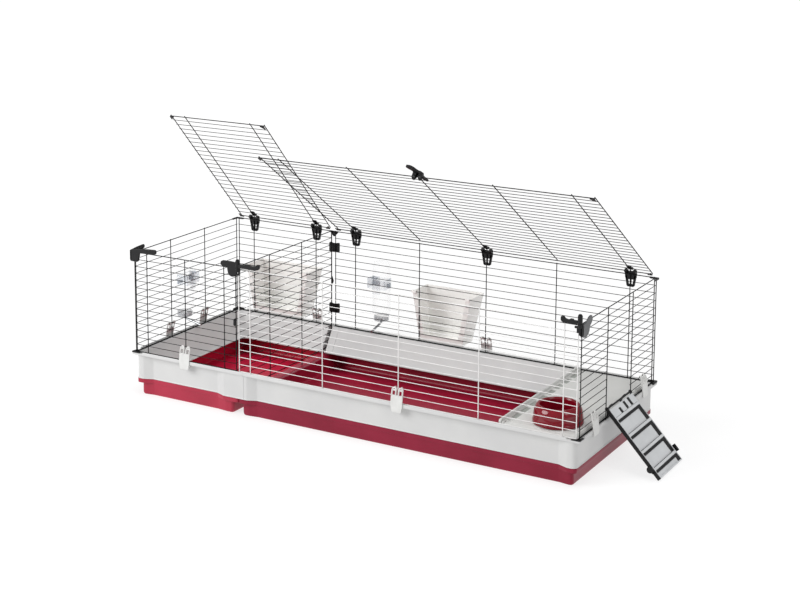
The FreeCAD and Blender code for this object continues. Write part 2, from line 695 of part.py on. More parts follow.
def lever(x, length, way):
    """Arm that turns about its pin on a tall boss, with an upturned tip; way is the side it points to."""
    low = LEVER_Z + CLIP_GAP
    high = low + LEVER_HEIGHT
    half = LEVER_BOSS_R - 2
    boss = Part.makeCylinder(LEVER_BOSS_R, LEVER_BOSS_HEIGHT, Vector(x, PIN_Y, low), Vector(0, 0, 1))
    arm = block(*sorted((x, x + way * length)), PIN_Y - half, PIN_Y + half, low, high)
    tip = block(*sorted((x + way * (length - LEVER_BOSS_R), x + way * length)), PIN_Y - half, PIN_Y + half,
                high, high + LEVER_BOSS_R)
    bore = Part.makeCylinder(LEVER_PIN_R + PIN_CLEARANCE, LEVER_BOSS_HEIGHT, Vector(x, PIN_Y, low),
                             Vector(0, 0, 1))
    return boss.fuse(arm).fuse(tip).cut(bore).removeSplitter()


save("connector_front_left", front_left_connector())
save("connector_front_middle", front_middle_connector())
save("connector_front_right", front_right_connector())
save("lever_middle", lever(MIDDLE_PIN_X, LEVER_LENGTH, 1))
save("lever_front_right", lever(RIGHT_PIN_X, LEVER_SHORT, -1))


# Back top brackets at the two corners and over the seam
def back_brackets():
    thick = CLIP_PLATE / 2
    low = TOP_Z - BACK_BRACKET_HEIGHT
    brackets = []
    for side in (-1, 1):
        corner = corner_leg(side, CONNECTOR_LEG, CONNECTOR_LEG, low, TOP_Z, thick)
        brackets.append(corner.mirror(Vector(0, 0, 0), Vector(0, 1, 0)))
    y0 = WALL_Y + FACE
    half = JOINT_CLIP_WIDTH / 2
    seam = [(BACK_SEAM_X - half, y0, TOP_Z), (BACK_SEAM_X + half, y0, TOP_Z),
            (BACK_SEAM_X, y0, TOP_Z - half)]
    brackets.append(plate(seam, (0, 1, 0), thick))
    return brackets


save("back_brackets", *back_brackets())


# Clips that join the posts of the two back panels, each with a tongue between the posts
def panel_joint_clips():
    clips = []
    for z in JOINT_CLIP_LEVELS:
        half = JOINT_CLIP_WIDTH / 2
        low = z - JOINT_CLIP_HEIGHT / 2
        high = z + JOINT_CLIP_HEIGHT / 2
        y0 = WALL_Y + FACE
        face = block(BACK_SEAM_X - half, BACK_SEAM_X + half, y0, y0 + CLIP_PLATE, low, high)
        grip = BACK_GAP / 2 - FACE
        tongue = block(BACK_SEAM_X - grip, BACK_SEAM_X + grip, WALL_Y - POST_R, y0, low, high)
        clips.append(face.fuse(tongue))
    return clips


save("panel_joint_clips", *panel_joint_clips())


# Catches on the partition: a wedge on the back post, on the side away from its level wires, and a plate
# over the wires' ends at the front post
def back_catch():
    y1 = WALL_Y - PARTITION_SIDE_GAP
    x0 = PARTITION_X + FACE
    half = JOINT_CLIP_HEIGHT / 2
    points = [(x0, y1 - POST_R, CATCH_Z - half), (x0, y1 - POST_R, CATCH_Z + half),
              (x0 + CLIP_PLATE, y1 - POST_R, CATCH_Z)]
    return plate(points, (0, 1, 0), 2 * POST_R)


def front_catch():
    x1 = PARTITION_X - POST_R - 2 * THIN_R - WELD_GAP - CLIP_GAP
    y0 = PARTITION_SIDE_GAP - WALL_Y - POST_R
    z0 = FRONT_CATCH_Z - FRONT_CATCH_HEIGHT / 2
    return block(x1 - CLIP_PLATE, x1, y0, y0 + FRONT_CATCH_WIDTH, z0, z0 + FRONT_CATCH_HEIGHT)


save("partition_catch", back_catch(), front_catch())


# Bottom corner clips: angles on the rim outside the four corners of the walls
def bottom_corner_clips():
    low = RIM_TOP + CLIP_GAP
    high = low + FOOT_CLIP_HEIGHT
    thick = CLIP_PLATE - CLIP_GAP
    clips = []
    for side in (-1, 1):
        corner = corner_leg(side, CONNECTOR_LEG, CONNECTOR_LEG, low, high, thick)
        clips.append(corner)
        clips.append(corner.mirror(Vector(0, 0, 0), Vector(0, 1, 0)))
    return clips


save("bottom_corner_clips", *bottom_corner_clips())


# Base clips: two loops round a level wire, a strap down outside the rim and a hook under the rim lip
def base_clip():
    loop_v = -(POST_R + THIN_R + WELD_GAP)
    loop_z = level_z(CLIP_LEVEL)
    rim_v = WALL_INSET + CLIP_GAP
    knee_z = RIM_TOP + RIM_UPSTAND
    near = POST_R + 2 * CLIP_GAP
    strap = [(near, loop_z), (near + STRAP_THICK, loop_z), (rim_v + STRAP_THICK, knee_z),
             (rim_v + STRAP_THICK, STRAP_BOTTOM), (rim_v, STRAP_BOTTOM), (rim_v, knee_z)]
    shape = side_plate(strap, -STRAP_WIDTH / 2, STRAP_WIDTH / 2)
    notch = LOOP_OFFSET - LOOP_WIDTH / 2
    shape = shape.cut(block(-notch, notch, 0, rim_v, loop_z - 2 * LOOP_R, loop_z))
    hook_top = RIM_TOP - RIM_LIP - HOOK_DROP
    catch = WALL_INSET - HOOK_CATCH
    hook = [(rim_v, hook_top), (catch, hook_top), (rim_v, hook_top - 2 * HOOK_HEIGHT)]
    shape = shape.fuse(side_plate(hook, -STRAP_WIDTH / 2, STRAP_WIDTH / 2))
    for side in (-1, 1):
        x = side * LOOP_OFFSET - LOOP_WIDTH / 2
        loop_start = Vector(x, loop_v, loop_z)
        loop = Part.makeCylinder(LOOP_R, LOOP_WIDTH, loop_start, Vector(1, 0, 0))
        stem = block(x, x + LOOP_WIDTH, loop_v, near + STRAP_THICK, loop_z - LOOP_R, loop_z + LOOP_R)
        bore = Part.makeCylinder(THIN_R + PIN_CLEARANCE, LOOP_WIDTH, loop_start, Vector(1, 0, 0))
        shape = shape.fuse(loop.fuse(stem).cut(bore))
    return shape.removeSplitter()


strap_clip = base_clip()
CLIP_PLACES = {
    "base_clip_front_small": ("front", front_small_inner[1]),
    "base_clip_front_large": ("front", front_large_inner[2]),
    "base_clip_back_small": ("back", back_small_inner[1]),
    "base_clip_back_large": ("back", back_large_inner[2]),
    "base_clip_left_front": ("left", end_inner[0]),
    "base_clip_left_back": ("left", end_inner[1]),
    "base_clip_right_front": ("right", -RIGHT_CLIP_Y),
    "base_clip_right_back": ("right", RIGHT_CLIP_Y),
}
for name, (wall, along) in CLIP_PLACES.items():
    save(name, on_wall(strap_clip, wall, along))

# Ramp: drawn level about its hinge pins, then lowered to the floor
SILL_X = WALL_X - POST_R - THIN_R - WELD_GAP
SILL_Z = level_z(SILL_LEVEL)
AXIS = Vector(WALL_X + RAMP_AXIS_OUT, RAMP_Y, SILL_Z + RAMP_AXIS_UP)


def lower_ramp(solid):
    solid.rotate(AXIS, Vector(0, 1, 0), RAMP_SLOPE)
    return solid


def ramp_box(t0, t1, y0, y1, n0, n1):
    """Block in the level ramp: t outward from the hinge pins, y from its middle, n above the pins."""
    return block(AXIS.x + t0, AXIS.x + t1, AXIS.y + y0, AXIS.y + y1, AXIS.z + n0, AXIS.z + n1)


DECK_HALF = RAMP_WIDTH / 2 - RAMP_RAIL_WIDTH - CLIP_GAP / 2
DECK_LOW = -RAMP_DECK / 2
DECK_TOP = RAMP_DECK / 2
EYE_R = RAMP_PIN_R + SHELL
below_floor = block(0, RIM_LENGTH, -RIM_WIDTH, RIM_WIDTH, -RIM_TOP, SEAT_GAP)


def ramp_deck():
    deck = ramp_box(EYE_R + CLIP_GAP, RAMP_LENGTH, -DECK_HALF, DECK_HALF, DECK_LOW, DECK_TOP)
    pitch = (RAMP_LENGTH - RAMP_HEAD) / RAMP_TREADS
    for step in range(RAMP_TREADS):
        start = RAMP_HEAD + step * pitch
        end = start + pitch - RAMP_TREAD_WIDTH
        half = DECK_HALF - SHELL
        deck = deck.cut(ramp_box(start, end, -half, half, DECK_TOP - RAMP_PANEL_DEPTH, DECK_TOP))
    return deck


def ramp_rail(side):
    """Side rail with the hinge eye at its top end, cut level where it stands on the floor."""
    outer = RAMP_WIDTH / 2
    inner = outer - RAMP_RAIL_WIDTH
    y0, y1 = sorted((side * inner, side * outer))
    rail = ramp_box(0, RAMP_LENGTH, y0, y1, DECK_TOP - RAMP_RAIL_HEIGHT + SHELL, DECK_TOP + SHELL)
    eye_start = AXIS + Vector(0, y0, 0)
    eye = Part.makeCylinder(EYE_R, RAMP_RAIL_WIDTH, eye_start, Vector(0, 1, 0))
    bore = Part.makeCylinder(RAMP_PIN_R + PIN_CLEARANCE, RAMP_RAIL_WIDTH, eye_start, Vector(0, 1, 0))
    return lower_ramp(rail.fuse(eye).cut(bore)).cut(below_floor)


def ramp_hooks():
    """Hinge rod across the ramp, on two arms that hook over the sill wire and lean on the bottom rail."""
    rod_half = RAMP_WIDTH / 2
    carrier = rod(AXIS + Vector(0, -rod_half, 0), AXIS + Vector(0, rod_half, 0), RAMP_PIN_R)
    rail_face = WALL_X - POST_R - WELD_GAP + CLIP_GAP
    for side in (-1, 1):
        y0 = RAMP_Y + side * RAMP_HOOK_SPACING / 2 - RAMP_HOOK_WIDTH / 2
        loop_start = Vector(SILL_X, y0, SILL_Z)
        loop = Part.makeCylinder(LOOP_R, RAMP_HOOK_WIDTH, loop_start, Vector(0, 1, 0))
        pin_top = AXIS.z + RAMP_PIN_R
        pin_bottom = AXIS.z - RAMP_PIN_R
        arm = [(SILL_X, y0, SILL_Z + LOOP_R), (AXIS.x - LOOP_R, y0, pin_top), (AXIS.x, y0, pin_top),
               (AXIS.x, y0, pin_bottom), (SILL_X, y0, SILL_Z - LOOP_R)]
        leg = block(rail_face, rail_face + LOOP_R, y0, y0 + RAMP_HOOK_WIDTH, RAIL_Z, SILL_Z)
        bore = Part.makeCylinder(THIN_R + PIN_CLEARANCE, RAMP_HOOK_WIDTH, loop_start, Vector(0, 1, 0))
        bracket = loop.fuse(plate(arm, (0, 1, 0), RAMP_HOOK_WIDTH)).fuse(leg).cut(bore)
        carrier = carrier.fuse(bracket)
    return carrier.removeSplitter()


def ramp_latch(side):
    """Oval turn latch on the outside of a rail, with a finger tab."""
    y = RAMP_Y + side * (RAMP_WIDTH / 2 + CLIP_GAP)
    centre = Vector(AXIS.x + RAMP_LENGTH - RAMP_LATCH_INSET, y, AXIS.z + DECK_LOW)
    knob = Part.makeCylinder(RAMP_LATCH_R, RAMP_LATCH_THICK, centre, Vector(0, side, 0))
    y0, y1 = sorted((y, y + side * RAMP_LATCH_THICK / 2))
    tab = block(centre.x, centre.x + RAMP_LATCH_REACH, y0, y1, centre.z - SHELL, centre.z + SHELL)
    return lower_ramp(knob.fuse(tab).removeSplitter())


save("ramp_deck", lower_ramp(ramp_deck()).cut(below_floor))
save("ramp_rails", ramp_rail(-1), ramp_rail(1))
save("ramp_hooks", ramp_hooks())
save("ramp_latch_front", ramp_latch(-1))
save("ramp_latch_back", ramp_latch(1))


# Feeding platform: a shelf with a skirt that sits on the slopes, edges that fall to the rim at the front
# and back, and a raised rib along its open edge
def platform():
    x1 = WALL_X - PLATFORM_END_GAP
    x0 = x1 - PLATFORM_LENGTH
    low = PLATFORM_TOP - PLATFORM_SKIRT

    def section(start, stop, inset, z_low, z_top):
        """Block across the cage from one x to another, its top edges falling at the front and back."""
        edge = HALF_W - PLATFORM_SIDE_INSET - inset
        brow = edge - PLATFORM_EDGE_RUN
        fall = z_top - PLATFORM_EDGE_DROP
        ends = [(-edge, z_low), (edge, z_low), (edge, fall), (brow, z_top), (-brow, z_top), (-edge, fall)]
        return plate([(start, y, z) for y, z in ends], (1, 0, 0), stop - start)

    shelf = section(x0, x1, 0, low, PLATFORM_TOP)
    shelf = shelf.cut(section(x0 + SHELL, x1 - SHELL, SHELL, low, PLATFORM_TOP - PLATFORM_PLATE))
    rib_low = PLATFORM_TOP - PLATFORM_EDGE_DROP
    shelf = shelf.fuse(section(x0, x0 + PLATFORM_RIB_WIDTH, 0, rib_low, PLATFORM_TOP + PLATFORM_RIB))
    foot_inset = SLOPE_FOOT_INSET + SEAT_GAP
    top_inset = SLOPE_TOP_INSET + SEAT_GAP
    clear = funnel(RING, foot_inset, SLOPE_FOOT_Z, top_inset, RIM_TOP, CORNER_RADIUS)
    above = prism(RING, top_inset, RIM_TOP, RIM_TOP + PLATFORM_SKIRT, CORNER_RADIUS)
    return shelf.common(clear.fuse(above)).removeSplitter()


save("feeding_platform", platform())


BOWL_X = WALL_X - BOWL_END_GAP
BOWL_Y = -WALL_Y + BOWL_FRONT_GAP


def bowl():
    """Turned bowl: wide foot, sides drawn in to a rounded rim, round hollow inside."""
    base = PLATFORM_TOP + SEAT_GAP
    outer = [(0, 0), (BOWL_BASE_R, 0), (BOWL_BASE_R, BOWL_FLOOR), (BOWL_RIM_R, BOWL_HEIGHT),
             (BOWL_RIM_R - BOWL_WALL, BOWL_HEIGHT), (BOWL_RIM_R - 2 * BOWL_WALL, BOWL_FLOOR + BOWL_WALL),
             (BOWL_RIM_R - 3 * BOWL_WALL, BOWL_FLOOR), (0, BOWL_FLOOR)]
    points = [Vector(BOWL_X + r, BOWL_Y, base + h) for r, h in outer]
    face = Part.Face(Part.makePolygon(points + [points[0]]))
    return face.revolve(Vector(BOWL_X, BOWL_Y, base), Vector(0, 0, 1), 360)


save("feeding_bowl", bowl())


# Hay racks: tapered boxes behind the back wall, open above and towards the wall, hung on a wire by hooks
def wire_hook(middle, width, level, wall):
    """Hook from a plate outside a wall, over a level wire and down behind it; X along, Y outward."""
    x0 = middle - width / 2
    x1 = middle + width / 2
    inner = -(POST_R + WELD_GAP + 2 * THIN_R + CLIP_GAP)
    seat = level_z(level) + THIN_R + CLIP_GAP
    tip = seat - HOOK_REACH
    bridge = block(x0, x1, inner - wall, FACE + wall, seat, seat + wall)
    drop = block(x0, x1, inner - wall, inner, tip, seat)
    stem = block(x0, x1, FACE, FACE + wall, tip, seat)
    return bridge.fuse(drop).fuse(stem)


def hay_rack(width):
    top = level_z(RACK_LEVEL)

    def level_outline(inset, z):
        """Rectangle in plan that narrows and gets shallower towards the bottom."""
        drop = (top - z) / RACK_HEIGHT
        half = width / 2 - RACK_TAPER / 2 * drop - inset
        near = FACE + inset
        far = FACE + RACK_DEPTH - RACK_DEPTH_TAPER * drop - inset
        corners = [Vector(-half, near, z), Vector(half, near, z), Vector(half, far, z), Vector(-half, far, z)]
        return Part.makePolygon(corners + [corners[0]])

    def tub(inset, z_low):
        return Part.makeLoft([level_outline(inset, z_low), level_outline(inset, top)], True, True)

    bottom = top - RACK_HEIGHT
    rack = tub(0, bottom).cut(tub(RACK_WALL, bottom + RACK_WALL))
    high = width / 2 - HOOK_WIDTH
    low = high - RACK_TAPER / 2
    sill = bottom + RACK_LIP
    mouth = [(-high, FACE, top), (high, FACE, top), (low, FACE, sill), (-low, FACE, sill)]
    rack = rack.cut(plate(mouth, (0, 1, 0), RACK_WALL))
    for side in (-1, 1):
        rack = rack.fuse(wire_hook(side * (width - HOOK_WIDTH) / 2, HOOK_WIDTH, RACK_LEVEL, RACK_WALL))
    return rack.removeSplitter()


save("hay_rack_small", on_wall(hay_rack(RACK_SMALL_WIDTH), "back", -END_POST_X + RACK_SMALL_POST_GAP))
save("hay_rack_large", on_wall(hay_rack(RACK_LARGE_WIDTH), "back", BACK_LARGE_END + RACK_LARGE_POST_GAP))


# Water bottles: drawn with X along the wall and Y outward, then set on their walls
def turned(profile, y):
    """Round solid about an upright axis, from (radius, height) points."""
    points = [Vector(r, y, z) for r, z in profile]
    face = Part.Face(Part.makePolygon(points + [points[0]]))
    return face.revolve(Vector(0, y, 0), Vector(0, 0, 1), 360)


def bottle():
    neck = CAP_R - CAP_WALL - SEAT_GAP
    shoulder = BOTTLE_BOTTOM + BOTTLE_R - neck
    inside = BOTTLE_R - BOTTLE_WALL
    lip = CAP_BOTTOM + CAP_WALL + SEAT_GAP
    profile = [(neck - BOTTLE_WALL, lip), (neck, lip), (neck, BOTTLE_BOTTOM), (BOTTLE_R, shoulder),
               (BOTTLE_R, BOTTLE_TOP), (0, BOTTLE_TOP), (0, BOTTLE_TOP - BOTTLE_WALL),
               (inside, BOTTLE_TOP - BOTTLE_WALL), (inside, shoulder), (neck - BOTTLE_WALL, BOTTLE_BOTTOM)]
    return turned(profile, BOTTLE_OFF_WALL)


def bottle_cap():
    inner = CAP_R - CAP_WALL
    high = BOTTLE_BOTTOM - SEAT_GAP
    floor = CAP_BOTTOM + CAP_WALL
    hole = SPOUT_R + PIN_CLEARANCE
    profile = [(hole, CAP_BOTTOM), (CAP_R, CAP_BOTTOM), (CAP_R, high), (inner, high), (inner, floor),
               (hole, floor)]
    return turned(profile, BOTTLE_OFF_WALL)


def spout_axis():
    """Upright stretch out of the cap, then a slanted stretch through the wall to the tip."""
    start = Vector(0, BOTTLE_OFF_WALL, CAP_BOTTOM + CAP_WALL)
    bend = Vector(0, BOTTLE_OFF_WALL, SPOUT_BEND_Z)
    tip = Vector(0, -SPOUT_REACH, SPOUT_TIP_Z)
    return start, bend, tip


def spout():
    start, bend, tip = spout_axis()

    def bent(radius):
        elbow = Part.makeSphere(radius, bend)
        return rod(start, bend, radius).fuse(elbow).fuse(rod(bend, tip, radius))

    return bent(SPOUT_R).cut(bent(SPOUT_BORE_R)).removeSplitter()


def drip_ball():
    start, bend, tip = spout_axis()
    inward = bend.sub(tip).normalize().multiply(BALL_R)
    return Part.makeSphere(BALL_R, tip.add(inward))


def bottle_bracket():
    """Back plate hung on the wall by a hook, with two arms either side of the bottle."""
    inner = BOTTLE_R + SEAT_GAP
    outer = inner + BRACKET_WALL
    back = block(-outer, outer, FACE, FACE + BRACKET_WALL, BRACKET_LOW, BRACKET_HIGH)
    for side in (-1, 1):
        x0, x1 = sorted((side * inner, side * outer))
        back = back.fuse(block(x0, x1, FACE, FACE + BRACKET_ARM, BRACKET_LOW, BRACKET_HIGH))
    return back.fuse(wire_hook(0, HOOK_WIDTH, BRACKET_LEVEL, BRACKET_WALL)).removeSplitter()


bottle_back_x = BACK_LARGE_END + BOTTLE_POST_GAP
for label, wall, along in (("small", "left", BOTTLE_END_Y), ("large", "back", bottle_back_x)):
    save("bottle_" + label, on_wall(bottle(), wall, along))
    save("bottle_cap_" + label, on_wall(bottle_cap(), wall, along))
    save("bottle_spout_" + label, on_wall(spout(), wall, along))
    save("drip_ball_" + label, on_wall(drip_ball(), wall, along))
    save("bottle_bracket_" + label, on_wall(bottle_bracket(), wall, along))
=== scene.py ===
import json
import math

import bpy
import numpy as np
from mathutils import Matrix, Vector


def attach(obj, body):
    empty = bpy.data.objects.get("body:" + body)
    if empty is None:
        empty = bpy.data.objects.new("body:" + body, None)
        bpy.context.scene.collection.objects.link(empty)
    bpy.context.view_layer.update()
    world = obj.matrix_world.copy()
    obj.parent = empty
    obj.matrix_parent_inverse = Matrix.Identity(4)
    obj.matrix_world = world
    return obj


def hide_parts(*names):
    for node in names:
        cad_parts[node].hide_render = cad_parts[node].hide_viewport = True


# Two-module rabbit cage, dressed over its construction frame. Millimetres here, metres in the scene.
# +X along the length towards the ramp, +Y to the back wall, +Z up, origin on the floor.

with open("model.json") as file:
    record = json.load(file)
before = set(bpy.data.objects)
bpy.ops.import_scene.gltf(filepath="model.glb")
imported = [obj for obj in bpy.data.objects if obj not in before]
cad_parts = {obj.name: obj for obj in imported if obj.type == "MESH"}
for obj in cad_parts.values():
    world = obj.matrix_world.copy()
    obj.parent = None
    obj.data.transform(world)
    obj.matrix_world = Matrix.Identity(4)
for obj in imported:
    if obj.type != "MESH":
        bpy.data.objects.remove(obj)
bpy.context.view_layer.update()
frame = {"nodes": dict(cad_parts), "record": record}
scene = bpy.context.scene
MILLI = 0.001

# Base: insets are measured inward from the rim's outline, recesses back from the proud corners
HALF_L = 799
HALF_W = 299
TRAY_SEAM_X = -379
BAND_SEAM_X = -357
SEAM_HALF_GAP = 0.4
BAND_LOW = 56
LIP_LOW = 136
RIM_TOP = 142
UPSTAND_END = 3
SLOPE_FOOT = 66
FLANGE_TOP = 55.7
SKIRT_LOW = 42
PILASTER_CORNER = 42
PILASTER_X = {"small": -435, "large": -346}
CHAMFER = 32
WALL_RECESS = 13
END_RECESS = 9
TRAY_RECESS = 4.5
TRAY_SEAM_SHIFT = {"small": 14, "large": -3}
PARTITION_SLOT = (27, 42)
SLOT_EDGE = 0.2
SLOT_SKIN = 9.3
WAY = {"small": -1, "large": 1}

# Walls, lids and clips
WALL_X = 790
WALL_Y = 290
FACE = 1.8
CLIP_PLATE = 7
TOP_Z = 478.9
HINGE_Z = 487.8
LID_DEPTH = 572

# Feeding platform and bowl
PLATFORM_X = (533, 776)
PLATFORM_HALF = 279
BOWL_X = 683
BOWL_Y = -194
BOWL_BASE = 148.3

# Ramp
RAMP_AXIS = (803, -30, 184.2)
RAMP_SLOPE = 46.9


def linear(colour):
    """Screen colour from 0 to 255 as the renderer's linear light, by the usual two-part curve."""
    levels = np.array(colour) / 255.0
    light = np.where(levels <= 0.04045, levels / 12.92, ((levels + 0.055) / 1.055) ** 2.4)
    return tuple(float(v) for v in light)


# Surfaces: every shell is (points, faces), closed, with its faces outward


def outward(points, faces):
    """Turns all faces over if the signed volume, a sum of corner triple products, is negative."""
    volume = 0.0
    for face in faces:
        first = points[face[0]]
        fan = points[list(face[1:])]
        volume += np.einsum("j,ij->", first, np.cross(fan[:-1], fan[1:]))
    if volume < 0:
        faces = [tuple(reversed(face)) for face in faces]
    return points, faces


def grid_shell(rows, loop=False):
    """Closed shell from rings of points joined in order: the last ring joins the first if loop is set,
    else both end rings are capped."""
    rows = np.asarray(rows, float)
    count, width = rows.shape[:2]
    steps = np.arange(count if loop else count - 1)
    columns = np.arange(width)
    here = steps[:, None] * width + columns
    right = steps[:, None] * width + (columns + 1) % width
    above = (steps[:, None] + 1) % count * width + columns
    above_right = (steps[:, None] + 1) % count * width + (columns + 1) % width
    quads = np.stack([here, right, above_right, above], axis=-1).reshape(-1, 4)
    faces = [tuple(quad) for quad in quads.tolist()]
    if not loop:
        faces.append(tuple(reversed(range(width))))
        faces.append(tuple(range((count - 1) * width, count * width)))
    return outward(rows.reshape(-1, 3), faces)


def plate(outline, axis, start, thickness):
    """Flat piece: a closed outline in the plane square to an axis, 0 to 2, carried along it from a start."""
    near = np.insert(np.asarray(outline, float), axis, start, axis=1)
    far = near.copy()
    far[:, axis] += thickness
    return grid_shell([near, far])


def block(x0, x1, y0, y1, z0, z1):
    return plate([(x0, y0), (x1, y0), (x1, y1), (x0, y1)], 2, z0, z1 - z0)


def lathe(profile, centre, steps=48, axis=(0, 0, 1), ring=False):
    """Turned piece: (radius, height) points carried round an axis through the centre; the ends of the
    profile are capped, or joined for a ring."""
    axis = np.asarray(axis, float)
    helper = np.array((1.0, 0, 0)) if abs(axis[0]) < 0.9 else np.array((0, 1.0, 0))
    first = np.cross(axis, helper)
    first /= np.linalg.norm(first)
    second = np.cross(axis, first)
    turn = np.linspace(0, 2 * np.pi, steps, endpoint=False)
    circle = np.outer(np.cos(turn), first) + np.outer(np.sin(turn), second)
    profile = np.asarray(profile, float)
    rows = centre + profile[:, 0, None, None] * circle + profile[:, 1, None, None] * axis
    return grid_shell(rows, loop=ring)


def swept(path, radii, steps=10, flat=(0, 0, 1)):
    """Round or oval bar along a path: an ellipse set square to the path at each of its points."""
    path = np.asarray(path, float)
    heading = np.gradient(path, axis=0)
    heading /= np.linalg.norm(heading, axis=1)[:, None]
    side = np.cross(heading, flat)
    side /= np.linalg.norm(side, axis=1)[:, None]
    lift = np.cross(side, heading)
    turn = np.linspace(0, 2 * np.pi, steps, endpoint=False)
    rows = path[:, None] + radii[0] * np.cos(turn)[:, None] * side[:, None] \
        + radii[1] * np.sin(turn)[:, None] * lift[:, None]
    return grid_shell(rows)


def turned(shell, angle, centre, axis):
    """A shell turned by an angle in degrees about an axis through a centre."""
    points, faces = shell
    spin = np.array(Matrix.Rotation(math.radians(angle), 3, Vector(axis)))
    centre = np.asarray(centre, float)
    return (points - centre) @ spin.T + centre, faces


def mirrored(shell, axis):
    """A shell mirrored in the plane through the origin that is square to an axis, 0 to 2."""
    points, faces = shell
    flip = np.ones(3)
    flip[axis] = -1
    return points * flip, [tuple(reversed(face)) for face in faces]


CREASE_ANGLE = 32.0
BEVEL_ANGLE = 28.0


def add_object(name, data):
    made = bpy.data.objects.new(name, data)
    scene.collection.objects.link(made)
    return made


def piece(name, body, nodes, slot, shells, bevel=0.0, material=None):
    """One visible piece from its shells, in its slot's material if no other is given: smooth shaded, with
    sharp edges above the crease angle."""
    points = []
    faces = []
    start = 0
    for shell_points, shell_faces in shells:
        points.append(shell_points)
        faces += [tuple(i + start for i in face) for face in shell_faces]
        start += len(shell_points)
    mesh = bpy.data.meshes.new(name)
    mesh.from_pydata((np.concatenate(points) * MILLI).tolist(), [], faces)
    mesh.shade_smooth()
    mesh.set_sharp_from_angle(angle=math.radians(CREASE_ANGLE))
    mesh.materials.append(material or SLOT_MATERIALS[slot])
    obj = add_object(name, mesh)
    if bevel:
        rounding = obj.modifiers.new("rounded_edges", "BEVEL")
        rounding.width = bevel * MILLI
        rounding.segments = 2
        rounding.limit_method = "ANGLE"
        rounding.angle_limit = math.radians(BEVEL_ANGLE)
    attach(obj, body)
    if nodes:
        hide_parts(*nodes)


# Materials


def feed(tree, socket, value):
    """Puts a Shade or a constant into a socket."""
    if isinstance(value, Shade):
        tree.links.new(value.socket, socket)
    else:
        socket.default_value = value


class Shade:
    """A value in a material's node tree, for plain arithmetic on sockets."""

    def __init__(self, tree, socket):
        self.tree = tree
        self.socket = socket

    def node(self, kind, inputs, out=0, **settings):
        """Any other node: inputs by name or number, either a Shade or a constant."""
        made = self.tree.nodes.new(kind)
        for key, value in settings.items():
            setattr(made, key, value)
        for key, value in inputs.items():
            feed(self.tree, made.inputs[key], value)
        return Shade(self.tree, made.outputs[out])

    def maths(self, operation, first, second):
        return self.node("ShaderNodeMath", {0: first, 1: second}, operation=operation)

    def __add__(self, other):
        return self.maths("ADD", self, other)

    def __mul__(self, other):
        return self.maths("MULTIPLY", self, other)

    def noise(self, scale, detail=2.0):
        """Soft mottling from 0 to 1 at a number of cells per metre."""
        return self.node("ShaderNodeTexNoise", {"Vector": self, "Scale": scale, "Detail": detail})

    def mix(self, low, high):
        """Colour between two colours, by this value."""
        return self.node("ShaderNodeMix", {0: self, 6: (*low, 1.0), 7: (*high, 1.0)}, out=2, data_type="RGBA")

    def ramp(self, low, high):
        """This value stretched so that low becomes 0 and high becomes 1, held between them."""
        return self.node("ShaderNodeMapRange", {0: self, 1: low, 2: high})


class Surface:
    """A material with its shader, and the place on the part that its looks go by."""

    def __init__(self, name):
        self.material = bpy.data.materials.new(name)
        self.material.use_nodes = True
        self.tree = self.material.node_tree
        self.shader = self.tree.nodes["Principled BSDF"]
        self.place = Shade(self.tree, self.tree.nodes.new("ShaderNodeTexCoord").outputs["Object"])

    def set(self, socket, value):
        feed(self.tree, self.shader.inputs[socket], value)


# Noise cells per metre, and the part of the noise that goes from the dark to the light colour
GRAIN_CELL = 900
GRAIN_GLOSS = 0.12
GRAIN_DEPTH = 0.001
TRAY_CELL = 9
TRAY_ROUGHNESS = 0.34
TRAY_BUMP = 0.03
WIRE_CELL = 30
WIRE_GLOSS_CELL = 240
WIRE_GLOSS = 0.2
CLEAR_CELL = 60
CLEAR_GLOSS_CELL = 300
CLEAR_GLOSS = 0.1
CLEAR_EDGE = 0.35
MOTTLE = (0.3, 0.7)


def mottled(name, cell, detail, dark, light):
    """A surface with soft mottling between two close screen colours."""
    surface = Surface(name)
    cloud = surface.place.noise(cell, detail).ramp(*MOTTLE)
    surface.set("Base Color", cloud.mix(linear(dark), linear(light)))
    return surface


def add_grain(surface, roughness, bump, specular):
    """Gloss and relief of moulded plastic: a fine grain about a mean roughness."""
    fine = surface.place.noise(GRAIN_CELL, 1)
    surface.set("Roughness", fine * GRAIN_GLOSS + (roughness - GRAIN_GLOSS / 2))
    surface.set("Specular IOR Level", specular)
    relief = {"Height": fine, "Strength": bump, "Distance": GRAIN_DEPTH}
    surface.set("Normal", surface.place.node("ShaderNodeBump", relief))
    return surface.material


def plastic(name, dark, light, roughness, cell, bump=0.02, specular=0.5):
    """Moulded plastic: mottled colour, and a fine grain that shows in the gloss."""
    return add_grain(mottled(name, cell, 3, dark, light), roughness, bump, specular)


def coated_wire(name, dark, light, roughness, metallic=0, specular=0.5):
    """Painted wire: colour wanders slowly along its length, gloss in small patches."""
    surface = mottled(name, WIRE_CELL, 2, dark, light)
    patches = surface.place.noise(WIRE_GLOSS_CELL)
    surface.set("Roughness", patches * WIRE_GLOSS + (roughness - WIRE_GLOSS / 2))
    surface.set("Metallic", metallic)
    surface.set("Specular IOR Level", specular)
    return surface.material


def see_through(name, dark, light, body_alpha, edge_alpha, roughness):
    """Clear moulded plastic: faint face on, denser where the surface turns away."""
    surface = mottled(name, CLEAR_CELL, 2, dark, light)
    surface.set("Roughness", surface.place.noise(CLEAR_GLOSS_CELL) * CLEAR_GLOSS + roughness)
    edge = surface.place.node("ShaderNodeLayerWeight", {"Blend": CLEAR_EDGE}, out=1)
    surface.set("Alpha", edge * (edge_alpha - body_alpha) + body_alpha)
    return surface.material


